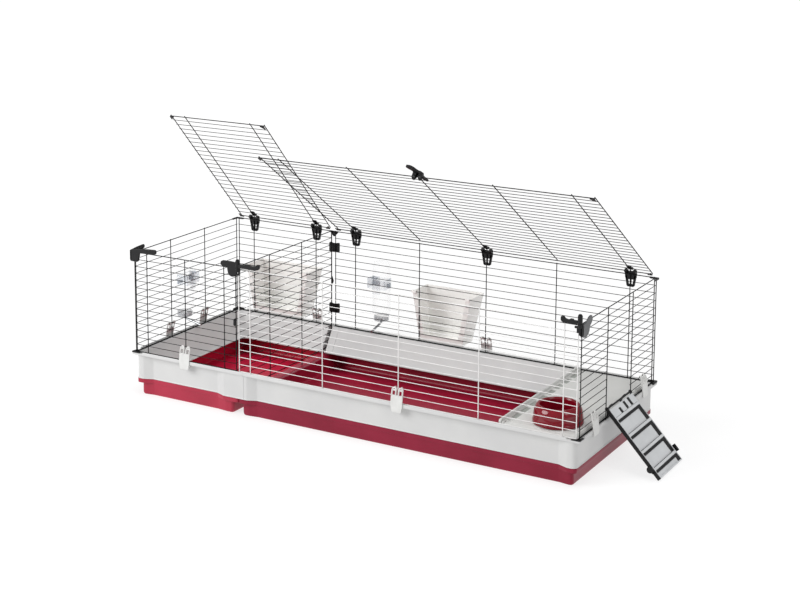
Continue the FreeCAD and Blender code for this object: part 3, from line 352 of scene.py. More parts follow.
def within(place, low, high):
    """1 inside an upright box given by two corners in millimetres, 0 a millimetre outside it."""
    shares = []
    for axis in (0, 1):
        at = place.node("ShaderNodeSeparateXYZ", {0: place}, out=axis) * (1 / MILLI)
        shares.append(at.ramp(low[axis] - 1, low[axis]) * at.ramp(high[axis] + 1, high[axis]))
    return shares[0] * shares[1]


def tray_plastic_with_painted_light(name, outside, inside, low, high, specular):
    """Tray plastic: mottled colour, with a lighter pair of colours on the walls and floor inside that is
    painted light on those faces.
    """
    surface = Surface(name)
    place = surface.place
    cloud = place.noise(TRAY_CELL, 3).ramp(*MOTTLE)
    # The box mask picks the inside walls and floor for the lighter, painted-light pair of colours.
    tints = {0: within(place, low, high), 6: cloud.mix(*map(linear, outside)),
             7: cloud.mix(*map(linear, inside))}
    surface.set("Base Color", place.node("ShaderNodeMix", tints, out=2, data_type="RGBA"))
    return add_grain(surface, TRAY_ROUGHNESS, TRAY_BUMP, specular)


# Both trays are one red: the small tray's lighter pairs are painted key light on the left module, and each
# lighter inside pair is painted light on the inner walls and floor.
TRAY_RED_WITH_PAINTED_LIGHT = {
    "small": tray_plastic_with_painted_light("small_tray_red_with_painted_key_light", ((154, 28, 54), (168, 35, 62)),
                          ((184, 21, 55), (196, 27, 63)), (-769, -276), (-407, 276), 0.38),
    "large": tray_plastic_with_painted_light("crimson_tray", ((121, 17, 42), (134, 23, 50)),
                          ((140, 20, 45), (154, 26, 53)), (-367, -276), (769, 276), 0.24)}
DARK_GREY = plastic("dark_grey_lobe", (58, 59, 61), (76, 77, 79), 0.42, 40)
# Pocket floors: grey-green, darker than the shelf as painted shade in the sunk pockets.
POCKET = plastic("grey_green_pocket_painted_shade", (150, 153, 148), (160, 163, 158), 0.5, 30, specular=0.3)

SLOT_MATERIALS = {
    "red_tray": TRAY_RED_WITH_PAINTED_LIGHT["large"],
    "pale_grey_plastic": plastic("pale_grey_band", (193, 193, 193), (201, 201, 200), 0.42, 7, specular=0.4),
    "black_wire": coated_wire("black_wire", (8, 8, 9), (20, 20, 21), 0.5, specular=0.15),
    "white_wire": coated_wire("white_wire", (214, 213, 212), (230, 229, 228), 0.45),
    "black_plastic": plastic("black_clip", (10, 10, 11), (20, 20, 22), 0.4, 40, specular=0.28),
    "strap_white": plastic("white_strap", (202, 202, 200), (212, 212, 210), 0.4, 40, specular=0.4),
    "light_grey_shelf": plastic("light_grey_shelf", (201, 201, 199), (209, 209, 206), 0.42, 12, specular=0.4),
    "dark_red_gloss": plastic("dark_red_bowl", (114, 7, 24), (130, 10, 30), 0.08, 24, bump=0),
    "rack_grey": plastic("warm_grey_rack", (238, 237, 234), (246, 245, 242), 0.45, 14, specular=0.3),
    "ramp_grey": plastic("grey_ramp_deck", (199, 201, 203), (209, 211, 213), 0.4, 20, specular=0.4),
    "clear_bottle": see_through("clear_bottle", (236, 240, 242), (248, 250, 251), 0.012, 0.14, 0.06),
    "clear_bracket": see_through("clear_bracket", (194, 204, 216), (218, 225, 233), 0.12, 0.44, 0.12),
    "cap_grey": see_through("grey_cap", (160, 162, 166), (184, 186, 190), 0.24, 0.6, 0.3),
    "steel": coated_wire("steel_spout", (150, 152, 154), (186, 188, 190), 0.28, metallic=1),
}


def black_piece(name, body, node, shells, bevel):
    """A black plastic piece in place of one node."""
    piece(name, body, [node], "black_plastic", shells, bevel)


# Base: outlines with round corners, walls set back between proud corners
CHAMFER_ROUNDING = np.linspace(-2.5, 2.5, 7)
CLOSE_STATIONS = np.array((-3, -1.5, 0, 1.5, 3))
STATION_MARGIN = 12
WIDE_STATIONS = 9
CORNER_TURN = np.radians(np.linspace(0, 90, 9))


def step_in(along, start, stop):
    """From 0 at the proud ends to 1 on the set-back wall: chamfers, rounded by averaging shifted copies."""
    rounded = 0
    for shift in CHAMFER_ROUNDING:
        x = along + shift
        rounded = rounded + np.clip(np.minimum(x - start, stop - x) / CHAMFER, 0, 1)
    return rounded / len(CHAMFER_ROUNDING)


def wall_stations(start, stop, low, high):
    """Places along one wall: close together at the four chamfer edges, wide apart elsewhere."""
    edges = (start, start + CHAMFER, stop - CHAMFER, stop)
    spread = np.linspace(edges[1] + STATION_MARGIN, edges[2] - STATION_MARGIN, WIDE_STATIONS)
    stations = np.concatenate([CLOSE_STATIONS + edge for edge in edges] + [spread, [low, high]])
    return np.unique(np.clip(stations, low, high))


def round_end(way, front_x, front_y, side_y, inset, end_inset, radius):
    """Plan along the front, round the corner, across the end and back; insets and radius are columns."""
    arc_x = way * (HALF_L - end_inset - radius + radius * np.sin(CORNER_TURN))
    arc_y = -(HALF_W - inset - radius + radius * np.cos(CORNER_TURN))
    side_x = np.broadcast_to(way * (HALF_L - end_inset), side_y.shape)
    plan = []
    for front, arc, side, sign in ((front_x, arc_x, side_x, 1), (front_y, arc_y, side_y, -1)):
        plan.append(np.concatenate([front, arc, side, sign * arc[:, ::-1], sign * front[:, ::-1]], axis=1))
    return plan


# Band: rows of inset, height, corner radius and share of the set-back; upstand and slope: inset and height
UPSTAND_RADIUS = 6
SLOPE_RADIUS = 26
BAND_ROWS = [
    (30, BAND_LOW, SLOPE_RADIUS, 0), (6.8, BAND_LOW, 15, 1), (5.3, BAND_LOW + 0.5, 16, 1),
    (4.8, BAND_LOW + 2, 16, 1), (5.3, BAND_LOW + 3.6, 16, 1), (6, BAND_LOW + 4.6, 15, 1),
    (6, LIP_LOW - 4, 15, 1), (5.4, LIP_LOW - 1, 15, 1), (4.2, LIP_LOW, 14, 0.9)]
UPSTAND = [
    (1.2, LIP_LOW), (0.3, LIP_LOW + 0.5), (0, LIP_LOW + 1.6), (0, RIM_TOP - 1.8), (0, RIM_TOP + 3.8),
    (0.5, RIM_TOP + 5), (1.6, RIM_TOP + 5.5), (2.8, RIM_TOP + 5.2), (3.7, RIM_TOP + 4),
    (4, RIM_TOP + 2), (4.4, RIM_TOP + 0.2), (5.4, RIM_TOP)]
SLOPE = [
    (16.4, RIM_TOP), (18.2, RIM_TOP - 0.6), (20, RIM_TOP - 3.2), (64.6, SLOPE_FOOT + 2.2),
    (66.8, SLOPE_FOOT + 0.4), (69, SLOPE_FOOT), (75.2, SLOPE_FOOT), (76, SLOPE_FOOT - 0.8),
    (76, SLOPE_FOOT - 2.2), (75.2, SLOPE_FOOT - 3), (56, SLOPE_FOOT - 3)]


def surround(module):
    """Closed profile of the band, rim and litter slope, carried from the seam along the front, round the end
    and back. The outer wall moves in with the set-back, the upstand sinks away at the corners, and near the
    small module's seam the inner rows shrink to a thin skin that leaves a slot for the partition."""
    still_rows = [(*row, UPSTAND_RADIUS, 0) for row in UPSTAND] + [(*row, SLOPE_RADIUS, 0) for row in SLOPE]
    inset, height, radius, moves = np.array(BAND_ROWS + still_rows).T[:, :, None]
    end_inset = inset + moves * END_RECESS
    way = WAY[module]
    seam = BAND_SEAM_X + way * SEAM_HALF_GAP
    pilaster = abs(PILASTER_X[module] - seam)
    stop = abs(way * HALF_L - seam) - PILASTER_CORNER
    slot_low, slot_high = PARTITION_SLOT
    along = wall_stations(pilaster, stop, 0, stop)
    slot_stations = [slot_low - SLOT_EDGE, slot_low, slot_high, slot_high + SLOT_EDGE]
    along = np.unique(np.concatenate([along, slot_stations]))
    depth = WALL_RECESS * step_in(along, pilaster, stop)
    last = np.minimum(stop, stop + PILASTER_CORNER - end_inset - radius - 1)
    slid = np.where(along <= slot_high + SLOT_EDGE, along, along * last / stop)
    front_inset = inset + moves * depth
    in_slot = (along >= slot_low) & (along <= slot_high) & (module == "small")
    front_inset = np.where(in_slot, np.minimum(front_inset, SLOT_SKIN), front_inset)
    corner = HALF_W - PILASTER_CORNER
    across = wall_stations(-corner, corner, -corner, corner)
    side_y = across / corner * np.minimum(corner, HALF_W - inset - radius - 1)
    front_x = seam + way * slid
    xs, ys = round_end(way, front_x, front_inset - HALF_W, side_y, inset, end_inset, radius)
    front_rise = np.clip((stop - along) / UPSTAND_END, 0, 1)
    side_rise = np.clip((corner - abs(across)) / UPSTAND_END, 0, 1)
    level = np.zeros(len(CORNER_TURN))
    rise = np.concatenate([front_rise, level, side_rise, level, front_rise[::-1]])
    zs = np.minimum(height, RIM_TOP) + np.maximum(height - RIM_TOP, 0) * rise
    return grid_shell(np.stack([xs, ys, zs], axis=-1).transpose(1, 0, 2))


# Trays: rows of insets at the front, the end and the seam, height, corner radius, and rise on the end and
# seam walls, where a groove parts the skirt from the body
TRAY_INSIDE = [
    (29.5, 41, 25, 4, 4, 0), (24.5, 36, 20, 5, 6, 0), (21.1, 32.6, 16.6, 8, 7, 0),
    (19.5, 31, 15, 13, 7, 0), (19.5, 31, 15, FLANGE_TOP - 1.1, 7, 0),
    (18.4, 29.9, 13.9, FLANGE_TOP, 8, 0)]
TRAY_FLANGE = [
    (7.4, 16.4, 1.4, FLANGE_TOP, 9, 0), (6.3, 15.3, 0.3, FLANGE_TOP - 0.4, 10, 0),
    (6, 15, 0, FLANGE_TOP - 1.3, 10, 0), (6, 15, 0, SKIRT_LOW + 1.4, 10, 0),
    (6.3, 15.4, 0.4, SKIRT_LOW + 0.3, 10, 0), (6.9, 16.6, 1.6, SKIRT_LOW, 9.4, 0),
    (7.3, 17.8, 2.8, SKIRT_LOW + 0.2, 9, 0.2), (7.4, 18, 3, SKIRT_LOW + 0.2, 9, 9)]
TRAY_OUTSIDE = [
    (16.3, 27, 11, SKIRT_LOW + 0.2, 9.4, 9.4), (16.5, 28, 12, SKIRT_LOW - 1, 10, 7),
    (16.5, 28, 12, 9, 10, 0), (17.3, 28.8, 12.8, 4.4, 10, 0), (19.3, 30.8, 14.8, 1.4, 9, 0),
    (22.9, 34.4, 18.4, 0, 7, 0)]


def tray(module):
    """Profile from the floor up the inside, over the flange, down the skirt and the body to the underside,
    carried round the four walls: the flange is set back with the band, the body less, end and seam not."""
    groups = (TRAY_INSIDE, TRAY_FLANGE, TRAY_OUTSIDE)
    counts = [len(rows) for rows in groups]
    inset, end_inset, seam_inset, height, radius, rise = np.concatenate(groups).T[:, :, None]
    recess = np.repeat((TRAY_RECESS, WALL_RECESS, TRAY_RECESS), counts)[:, None]
    shift = TRAY_SEAM_SHIFT[module]
    seam_inset = seam_inset + np.repeat((shift, 0, shift), counts)[:, None]
    way = WAY[module]
    seam = TRAY_SEAM_X + way * SEAM_HALF_GAP
    pilaster = abs(PILASTER_X[module] - seam)
    length = abs(way * HALF_L - seam)
    stop = length - PILASTER_CORNER
    along = wall_stations(pilaster, stop, pilaster, stop)
    depth = recess * step_in(along, pilaster, stop)
    first = np.maximum(pilaster, seam_inset + radius + 1)
    last = np.minimum(stop, length - end_inset - radius - 1)
    share = (along - pilaster) / (stop - pilaster)
    front_x = seam + way * (first + share * (last - first))
    side_y = np.linspace(-1, 1, WIDE_STATIONS) * (HALF_W - inset - radius - 1)
    xs, ys = round_end(way, front_x, inset + depth - HALF_W, side_y, inset, end_inset, radius)
    seam_x = seam + way * (seam_inset + radius - radius * np.sin(CORNER_TURN))
    seam_y = HALF_W - inset - radius + radius * np.cos(CORNER_TURN)
    xs = np.concatenate([xs, seam_x, seam_x[:, ::-1]], axis=1)
    ys = np.concatenate([ys, seam_y, -seam_y[:, ::-1]], axis=1)
    flat = np.zeros(len(along))
    turning = np.sin(CORNER_TURN) ** 2
    up = np.ones(WIDE_STATIONS)
    risen = np.concatenate([flat, turning, up, turning[::-1], flat, turning, turning[::-1]])
    zs = height + rise * risen
    return grid_shell(np.stack([xs, ys, zs], axis=-1))


for module in ("small", "large"):
    piece("surround_" + module + "_moulded", "cage", ["surround_" + module], "pale_grey_plastic",
          [surround(module)])
    piece("tray_" + module + "_moulded", "cage", ["tray_" + module], "red_tray", [tray(module)],
          material=TRAY_RED_WITH_PAINTED_LIGHT[module])


# Bowl
def bowl():
    """Foot band, side drawn in, dome shoulder to a narrower mouth and a round hollow."""
    foot = [(0.5, 0.3), (71, 0.3), (74.2, 0.8), (75, 2.4), (75, 9), (74, 11), (72.6, 14)]
    side = [(72, 26), (71.2, 33), (69.8, 40)]
    shoulder = [(67, 47), (63.6, 52.2), (60.6, 54.4), (58, 55), (55.6, 54.5), (54, 52.6)]
    hollow = [(53, 48), (51.4, 24), (48.6, 12), (42, 6.6), (34, 5.4), (0.5, 5.2)]
    return lathe(foot + side + shoulder + hollow, (BOWL_X, BOWL_Y, BOWL_BASE), steps=96)


piece("feeding_bowl_glossy", "bowl", ["feeding_bowl"], "dark_red_gloss", [bowl()])

# Feeding platform: skirted shelf, its front and back edges rounded down to the rim, a ridge on the open edge
# and a row of pockets beside it. Rows of insets at the open edge, the end and the sides, and height
SHELF_ROWS = ((0, 13.8, 17.4, 112.6), (0, 0.4, 3.6, 134.6), (0, 0, 0, 140.2),
              (0.4, 0.4, 0.6, 142), (1.4, 1.4, 2.6, 143.6), (3, 3, 7, 145))
TOP_ROWS = ((0, 0, 5, 144), (0, 0, 9, 145.8), (0.8, 0.8, 13, 147.2), (2, 2, 17, 148))
RIDGE_ROWS = ((0, 0, 0, 143), (0, 0, 0, 149), (0.4, 0.4, 1.6, 152), (1.2, 1.2, 5, 154.6),
              (2.6, 2.6, 10, 156))
SHELF_RADIUS = 12
TOP_RADIUS = 8
TOP_X = (566, 773)
RIDGE_X = (533, 541.6)
RIDGE_RADIUS = 1
INNER_RIDGE_X = (543.6, 548.2)
INNER_RIDGE_RADIUS = 0.2
INNER_RIDGE_DROP = 4
POCKETS = 8
POCKET_PITCH = 60
POCKET_LOW = 143
POCKET_FLOOR = 145.5
POCKET_HALF = 22.6
POCKET_X = (548.6, 565.6)
BAR_HALF = 7
BAR_TOP = 147.6
BAR_X = (545, 568)


def plan_loop(x0, x1, y0, y1, radius, z):
    """Rectangle with round corners in plan, as one ring of points."""
    angle = np.radians(np.linspace(0, 90, 6)) + np.arange(4)[:, None] * np.pi / 2
    x = np.array([[x1 - radius], [x0 + radius], [x0 + radius], [x1 - radius]]) + radius * np.cos(angle)
    y = np.array([[y1 - radius], [y1 - radius], [y0 + radius], [y0 + radius]]) + radius * np.sin(angle)
    return np.stack([x, y, np.full(x.shape, z)], axis=-1).reshape(-1, 3)


def feeding_platform():
    def stack(start, stop, rows, radius, drop=0):
        """Rings of round-cornered rectangles between two x, each drawn in and raised as its row says."""
        return grid_shell([plan_loop(start + open_in, stop - end_in, side_in - PLATFORM_HALF,
                                     PLATFORM_HALF - side_in, radius, z - drop)
                           for open_in, end_in, side_in, z in rows])

    shells = [stack(*PLATFORM_X, SHELF_ROWS, SHELF_RADIUS), stack(*TOP_X, TOP_ROWS, TOP_RADIUS),
              stack(*RIDGE_X, RIDGE_ROWS, RIDGE_RADIUS),
              stack(*INNER_RIDGE_X, RIDGE_ROWS, INNER_RIDGE_RADIUS, INNER_RIDGE_DROP)]
    for bar in range(POCKETS + 1):
        y = (bar - POCKETS / 2) * POCKET_PITCH
        shells.append(block(*BAR_X, y - BAR_HALF, y + BAR_HALF, POCKET_LOW, BAR_TOP))
    return shells


def pocket_floors():
    places = [(pocket + 0.5 - POCKETS / 2) * POCKET_PITCH for pocket in range(POCKETS)]
    return [block(*POCKET_X, y - POCKET_HALF, y + POCKET_HALF, POCKET_LOW, POCKET_FLOOR) for y in places]


# Pocket floors in the darker grey-green: painted shade of the pockets.
piece("platform_pocket_floors_painted_shade", "platform", [], "light_grey_shelf", pocket_floors(), material=POCKET)
piece("feeding_platform_moulded", "platform", ["feeding_platform"], "light_grey_shelf", feeding_platform())


# Drawing frames: pieces drawn on a wall, on a closed lid or on a level ramp, then put in their places
WALL_TURN = {"back": 0, "left": 90, "front": 180, "right": -90}


def on_wall(shells, wall, along):
    """Shells drawn with X along the wall and Y outward from its wires, put on that wall."""
    origin = {"back": (along, WALL_Y, 0), "front": (along, -WALL_Y, 0),
              "left": (-WALL_X, along, 0), "right": (WALL_X, along, 0)}[wall]
    faced = [turned(shell, WALL_TURN[wall], (0, 0, 0), (0, 0, 1)) for shell in shells]
    return [(points + origin, faces) for points, faces in faced]


def on_lid(shells, angle):
    """Shells drawn on a closed lid, swung open with it."""
    return [turned(shell, angle, (0, WALL_Y, HINGE_Z), (-1, 0, 0)) for shell in shells]


def on_ramp(shells):
    """Shells drawn on the level ramp, from its hinge outward, lowered with it."""
    return [turned((points + RAMP_AXIS, faces), RAMP_SLOPE, RAMP_AXIS, (0, 1, 0))
            for points, faces in shells]


def strip(start, stop, width):
    """Outline of a straight flat bar between two points of a plane."""
    start = np.asarray(start, float)
    stop = np.asarray(stop, float)
    side = (stop - start)[::-1] * (-1, 1)
    side = side / np.linalg.norm(side) * width / 2
    return [start - side, stop - side, stop + side, start + side]


def facing(outline, thickness=CLIP_PLATE):
    """Outline of (along, height) points on a wall as a plate outside its wires."""
    return plate(outline, 1, FACE + thickness, -thickness)


def eye_ring(x, y, z, inner, outer, width, axis=(1, 0, 0)):
    """Ring with rounded edges about an axis, starting at a point."""
    profile = [(inner, 0), (outer - 1, 0), (outer, 1), (outer, width - 1), (outer - 1, width),
               (inner, width)]
    return lathe(profile, (x, y, z), steps=28, axis=axis, ring=True)


# Lid hinge clips: tapered baskets behind the back wall, with two ears round the lid's rail
HINGE_PLACES = {"small": (-718, -458), "large": (-298, 202, 702)}
LID_ANGLE = {"small": 46.5, "large": 35}
LID_ENDS = {"small": (-775, -400), "large": (-372, 775)}
BASKET_HEIGHTS = (480.7, 437)
BASKET_SIDE = 7
BASKET_RIB = (4.8, 5.4)
EAR_X = 14.5
EAR_HALF = 4.3
EAR_OUTER = 7.2
RAIL_BORE = 1.7


def hinge_basket():
    """Head and foot plates joined by two leaning sides and a middle rib, and ears above the head."""
    top, low = BASKET_HEIGHTS
    head = [(-20, top), (20, top), (18.2, top - 15), (10, top - 20), (-10, top - 20), (-18.2, top - 15)]
    foot = [(-11.4, low + 1.8), (-9, low), (9, low), (11.4, low + 1.8), (12.4, low + 8), (-12.4, low + 8)]
    outer = FACE + CLIP_PLATE
    shells = [facing(head), facing(foot), block(-10, 10, FACE, outer, top - 2, HINGE_Z - 3)]
    for side in (-1, 1):
        x0 = side * EAR_X - EAR_HALF
        x1 = side * EAR_X + EAR_HALF
        shells += [facing(strip((side * 15.4, top - 6), (side * 9.4, low + 3), BASKET_SIDE)),
                   eye_ring(x0, 0, HINGE_Z, RAIL_BORE, EAR_OUTER, 2 * EAR_HALF),
                   block(x0, x1, FACE, outer, top - 4, HINGE_Z + 3)]
    width, thickness = BASKET_RIB
    return shells + [facing(strip((0, top - 6), (0, low + 3), width), thickness)]


KNUCKLE_HALF = 8
CAP_REACH = 16
CAP_BLUNT = 2
CAP_LOW = 4.5
CAP_PLATE = 2.9
CAP_OVERHANG = 1.5


def knuckle(x):
    """Wedge on a cross wire, high at the hinge, with a raised heel."""
    wedge = [(0, 4.56), (27, 4.56), (27, 6.6), (22, 8.6), (10, 9.4), (7, 11.8), (0, 12)]
    outline = [(WALL_Y - s, HINGE_Z + n) for s, n in wedge]
    return plate(outline, 0, x - KNUCKLE_HALF, 2 * KNUCKLE_HALF)


def corner_cap(x, s, side, way):
    """Triangular plate with a blunt tip under a lid's corner."""
    outline = [(0, 0), (CAP_REACH, 0), (CAP_REACH, CAP_BLUNT), (CAP_BLUNT, CAP_REACH), (0, CAP_REACH)]
    plan = [(x + side * a, WALL_Y - (s + way * b)) for a, b in outline]
    return plate(plan, 2, HINGE_Z - CAP_LOW, CAP_PLATE)


for module in ("small", "large"):
    angle = LID_ANGLE[module]
    body = "lid_" + module
    places = HINGE_PLACES[module]
    baskets = [shell for x in places for shell in on_wall(hinge_basket(), "back", x)]
    black_piece("hinge_baskets_" + module, "cage", "lid_hinge_clips_" + module, baskets, 0.9)
    knuckles = on_lid([knuckle(x) for x in places], angle)
    black_piece("knuckles_" + module, body, "lid_knuckles_" + module, knuckles, 1)
    x0, x1 = LID_ENDS[module]
    caps = [corner_cap(x, s, side, way) for x, side in ((x0, 1), (x1, -1))
            for s, way in ((-CAP_OVERHANG, 1), (LID_DEPTH + CAP_OVERHANG, -1))]
    black_piece("corner_caps_" + module, body, "lid_corner_caps_" + module, on_lid(caps, angle), 0.6)


# Lid latch: paddle and tapered tail along a cross wire, on a thick barrel round the front rail
LATCH_X = 202
LATCH_LEAN = 0.36
PADDLE = [(-7, 12), (7, 13), (12, 9.4), (20, 8.4), (28, 10), (36, 10.6), (43, 8.6), (46, 5)]
TAIL = [(-41, 2.6), (-34, 4.6), (-20, 7), (-12, 10), (-4, 12)]
LATCH_RIDGE = [(-14, 6), (-8, 8), (18, 6), (22, 3)]
BARREL_X = 10.5
BARREL_HALF = 6.5
BARREL_OUTER = 6.9
BARREL_NECK = 5.6
TOOTH_HALF = 3.5
TOOTH_SPAN = (-2.4, 3.6)
LATCH_Y = WALL_Y - LID_DEPTH


def lid_latch():
    """Outlines are (forward, half width) from the front rail, leaning to the left as they go forward."""

    def bar(steps, low, high):
        forward, half = np.array(steps, float).T
        lean = LATCH_X - LATCH_LEAN * forward
        y = LATCH_Y - forward
        right = np.stack([lean + half, y], axis=1)
        left = np.stack([lean - half, y], axis=1)
        return plate(np.concatenate([right, left[::-1]]), 2, HINGE_Z + low, high - low)

    shells = [bar(PADDLE, 10.2, 17.2), bar(TAIL, 4.9, 11.5), bar(LATCH_RIDGE, 11, 16.8)]
    neck = [LATCH_Y - BARREL_NECK, LATCH_Y + BARREL_NECK]
    tooth = [LATCH_Y + edge for edge in TOOTH_SPAN]
    for side in (-1, 1):
        x = LATCH_X + side * BARREL_X
        x0 = x - BARREL_HALF
        x1 = x + BARREL_HALF
        shells += [eye_ring(x0, LATCH_Y, HINGE_Z, RAIL_BORE, BARREL_OUTER, 2 * BARREL_HALF),
                   block(x0, x1, *neck, HINGE_Z + 3, HINGE_Z + 12.5),
                   block(x - TOOTH_HALF, x + TOOTH_HALF, *tooth, HINGE_Z - 10, HINGE_Z - 3)]
    return on_lid(shells, LID_ANGLE["large"])


black_piece("lid_latch_moulded", "lid_latch", "lid_latch", lid_latch(), 1)

# Front top connectors and their levers
PIN_Y = -298.8
MIDDLE_PIN_X = -371
RIGHT_PIN_X = 790
LOBE_Z = 483.7
LEVER_LOW = 484.3
LEVER_HALF = 4.6
COLLAR_HEIGHT = 12
HOOK_PLATE = 6
LOBE_PLATE = 3.4
LOBE_GAP = 3.6
THIN_PLATE = 4
FRONT_Y = -WALL_Y - FACE - CLIP_PLATE
END_X = WALL_X + FACE


def front_plate(outline, thickness=CLIP_PLATE):
    """Outline of (x, z) points as a plate outside the front wall."""
    return plate(outline, 1, FRONT_Y + thickness, -thickness)


def end_plate(outline, side, thickness=CLIP_PLATE):
    """Outline of (y, z) points as a plate outside an end wall; side is -1 left, 1 right."""
    x = END_X if side > 0 else -END_X - thickness
    return plate(outline, 0, x, thickness)


def connector_left():
    front = [(-798.8, 454), (-795, 450), (-770, 450), (-764.5, 455), (-762.5, 466), (-760, 480),
             (-700, 482.5), (-694.5, 485.5), (-693, 491), (-694, 496), (-698, 498.6), (-730, 497),
             (-765, 493), (-798.8, 487)]
    end = [(-298.8, 454), (-295, 450), (-270, 450), (-264.5, 456), (-263, 470), (-258, 477), (-236, 478.5),
           (-230, 481), (-228, 487), (-231, 492.4), (-262, 491), (-298.8, 487)]
    return [front_plate(front), end_plate(end, -1)]


def pin_and_collar(x):
    pin = [(3, 12), (3, 38), (5.2, 38.2), (5.2, 39.4), (4, 40.6)]
    collar = [(5.6, 0), (7, 1.4), (7, 12.3)]
    return [lathe(profile, (x, PIN_Y, LOBE_Z - COLLAR_HEIGHT), 24) for profile in (pin, collar)]


def connector_middle():
    tooth = [(-437, 491), (-435.5, 486.5), (-431, 484.4), (-412, 483), (-410, 470), (-407, 461),
             (-401, 455.5), (-393, 453.6), (-384.5, 455), (-378.5, 460), (-375.5, 468), (-371, 472),
             (-364.4, 474), (-364.4, LOBE_Z), (-378.6, LOBE_Z), (-378.6, 500.6), (-400, 502), (-430, 501.4),
             (-435.5, 498)]
    hook = [(-377, 460), (-369, 460), (-364.4, 464), (-364.4, 473), (-369.4, 473), (-370, 466), (-377, 466)]
    return [front_plate(tooth), front_plate(hook, HOOK_PLATE)] + pin_and_collar(MIDDLE_PIN_X)


def connector_right():
    front = [(786, 453), (789, 449), (798.8, 449), (798.8, LOBE_Z), (783.4, LOBE_Z), (783.4, 478), (786, 474)]
    hook = [(773, 476), (787, 476), (787, 457), (779.5, 457), (779.5, 470), (773, 470)]
    end = [(-298.8, 446), (-287, 446), (-283, 450), (-283, LOBE_Z), (-298.8, LOBE_Z)]
    plates = [front_plate(front), front_plate(hook, HOOK_PLATE), end_plate(end, 1, THIN_PLATE)]
    return plates + pin_and_collar(RIGHT_PIN_X)


def right_lobe():
    """Two-lobed plate on the end side of the right connector: low at the front, high towards the back."""
    outline = [(-297, 480), (-298.4, 466), (-297, 452), (-291, 444), (-281, 441), (-270, 441.4), (-258, 446),
               (-251, 454), (-249, 463), (-243, 470), (-235, 475), (-230.4, 482), (-231, 490), (-236, 495.6),
               (-246, 497.8), (-258, 495.4), (-268, 489), (-276, 484.5), (-288, 483)]
    return [plate(outline, 0, END_X + LOBE_GAP, LOBE_PLATE)]


def lever(x, way, reach, lift):
    """Arm from a tall boss on the pin, with a bump on its way and an upturned tip; lift moves the arm up."""
    low = LEVER_LOW + lift
    under = [(5.6, LEVER_LOW), (8.6, LEVER_LOW), (10, low), (reach * 0.5, low), (reach - 14, low)]
    tip = [(reach - 4, low + 3), (reach, low + 9), (reach - 0.5, low + 18), (reach - 8, low + 19),
           (reach - 13, low + 13.4), (reach - 20, low + 11.6)]
    bump = [(reach * 0.58, low + 11.6), (reach * 0.52, low + 14.6), (reach * 0.38, low + 15),
            (reach * 0.32, low + 11.8), (5.6, low + 11.8)]
    outline = [(x + way * a, z) for a, z in under + tip + bump]
    arm = plate(outline, 1, PIN_Y + LEVER_HALF, -2 * LEVER_HALF)
    return [arm, eye_ring(x, PIN_Y, LEVER_LOW, 3.2, 7, 24.8, (0, 0, 1))]


for label, shape in (("left", connector_left), ("middle", connector_middle), ("right", connector_right)):
    black_piece("connector_" + label + "_moulded", "cage", "connector_front_" + label, shape(), 1.2)
piece("connector_right_lobe", "cage", [], "black_plastic", right_lobe(), 1, DARK_GREY)
black_piece("lever_middle_moulded", "lever_middle", "lever_middle", lever(MIDDLE_PIN_X, 1, 83, 2), 1)
black_piece("lever_right_moulded", "lever_front_right", "lever_front_right",
            lever(RIGHT_PIN_X, -1, 58, -3.5), 1)

# Back brackets, panel joint clips, partition catches and bottom corner clips
BACK_SEAM_X = -386
BACK_Y = WALL_Y + FACE
BRACKET_PLATE = 3.5
JOINT_CLIP_HEIGHTS = (421, 206)
CORNER_CLIP_LOW = 142.3
CORNER_CLIP_PLATE = 6.7


def back_brackets():
    seam = [(-20, TOP_Z), (20, TOP_Z), (16, 474), (2, 459.5), (-2, 459.5), (-16, 474)]
    shells = on_wall([facing(seam, BRACKET_PLATE)], "back", BACK_SEAM_X)
    corner = [(264, 474.5), (268, 472.9), (295.3, 472.9), (295.3, TOP_Z), (264, TOP_Z)]
    for side in (-1, 1):
        along = [(side * (y + WALL_X - WALL_Y), z) for y, z in corner]
        shells += [plate(along, 1, BACK_Y + BRACKET_PLATE, -BRACKET_PLATE),
                   end_plate(corner, side, BRACKET_PLATE)]
    return shells


def joint_clip(z):
    """Two cheeks outside the posts of neighbouring back panels, on a thinner web with a tongue."""
    half_cheek = [(3.5, -14), (17, -17), (20, -14), (20, 14), (17, 17), (3.5, 14)]
    cheeks = [facing([(side * a, z + b) for a, b in half_cheek]) for side in (-1, 1)]
    web = block(-5, 5, FACE, FACE + 5, z - 13, z + 13)
    tongue = block(-6, 6, -1.5, FACE + 1, z - 16, z + 16)
    return on_wall(cheeks + [web, tongue], "back", BACK_SEAM_X)


def partition_catches():
    """Blunt wedge on the back post, and a plate with cut corners on the front post."""
    wedge = [(-388.2, 288.5), (-386.8, 288.5), (-381.4, 303.6), (-381.4, 306.4), (-386.8, 321.5),
             (-388.2, 321.5)]
    front = [(-400.8, 293), (-398.4, 289.2), (-393.9, 289.2), (-393.9, 312.8), (-397.6, 312.8),
             (-400.8, 308)]
    return [plate(wedge, 1, 283.4, -2.9), plate(front, 1, -274.6, -8.8)]


def bottom_corner_clip(tip, heel):
    """Front right corner: two tapered legs on the rim that meet at the corner, high at the heel."""
    low = CORNER_CLIP_LOW
    leg = [(0, low), (30, low), (30, low + tip), (12, low + heel), (0, low + heel)]
    front = [(798.5 - a, z) for a, z in leg]
    end = [(-298.5 + a, z) for a, z in leg]
    return [front_plate(front, CORNER_CLIP_PLATE), end_plate(end, 1, CORNER_CLIP_PLATE)]


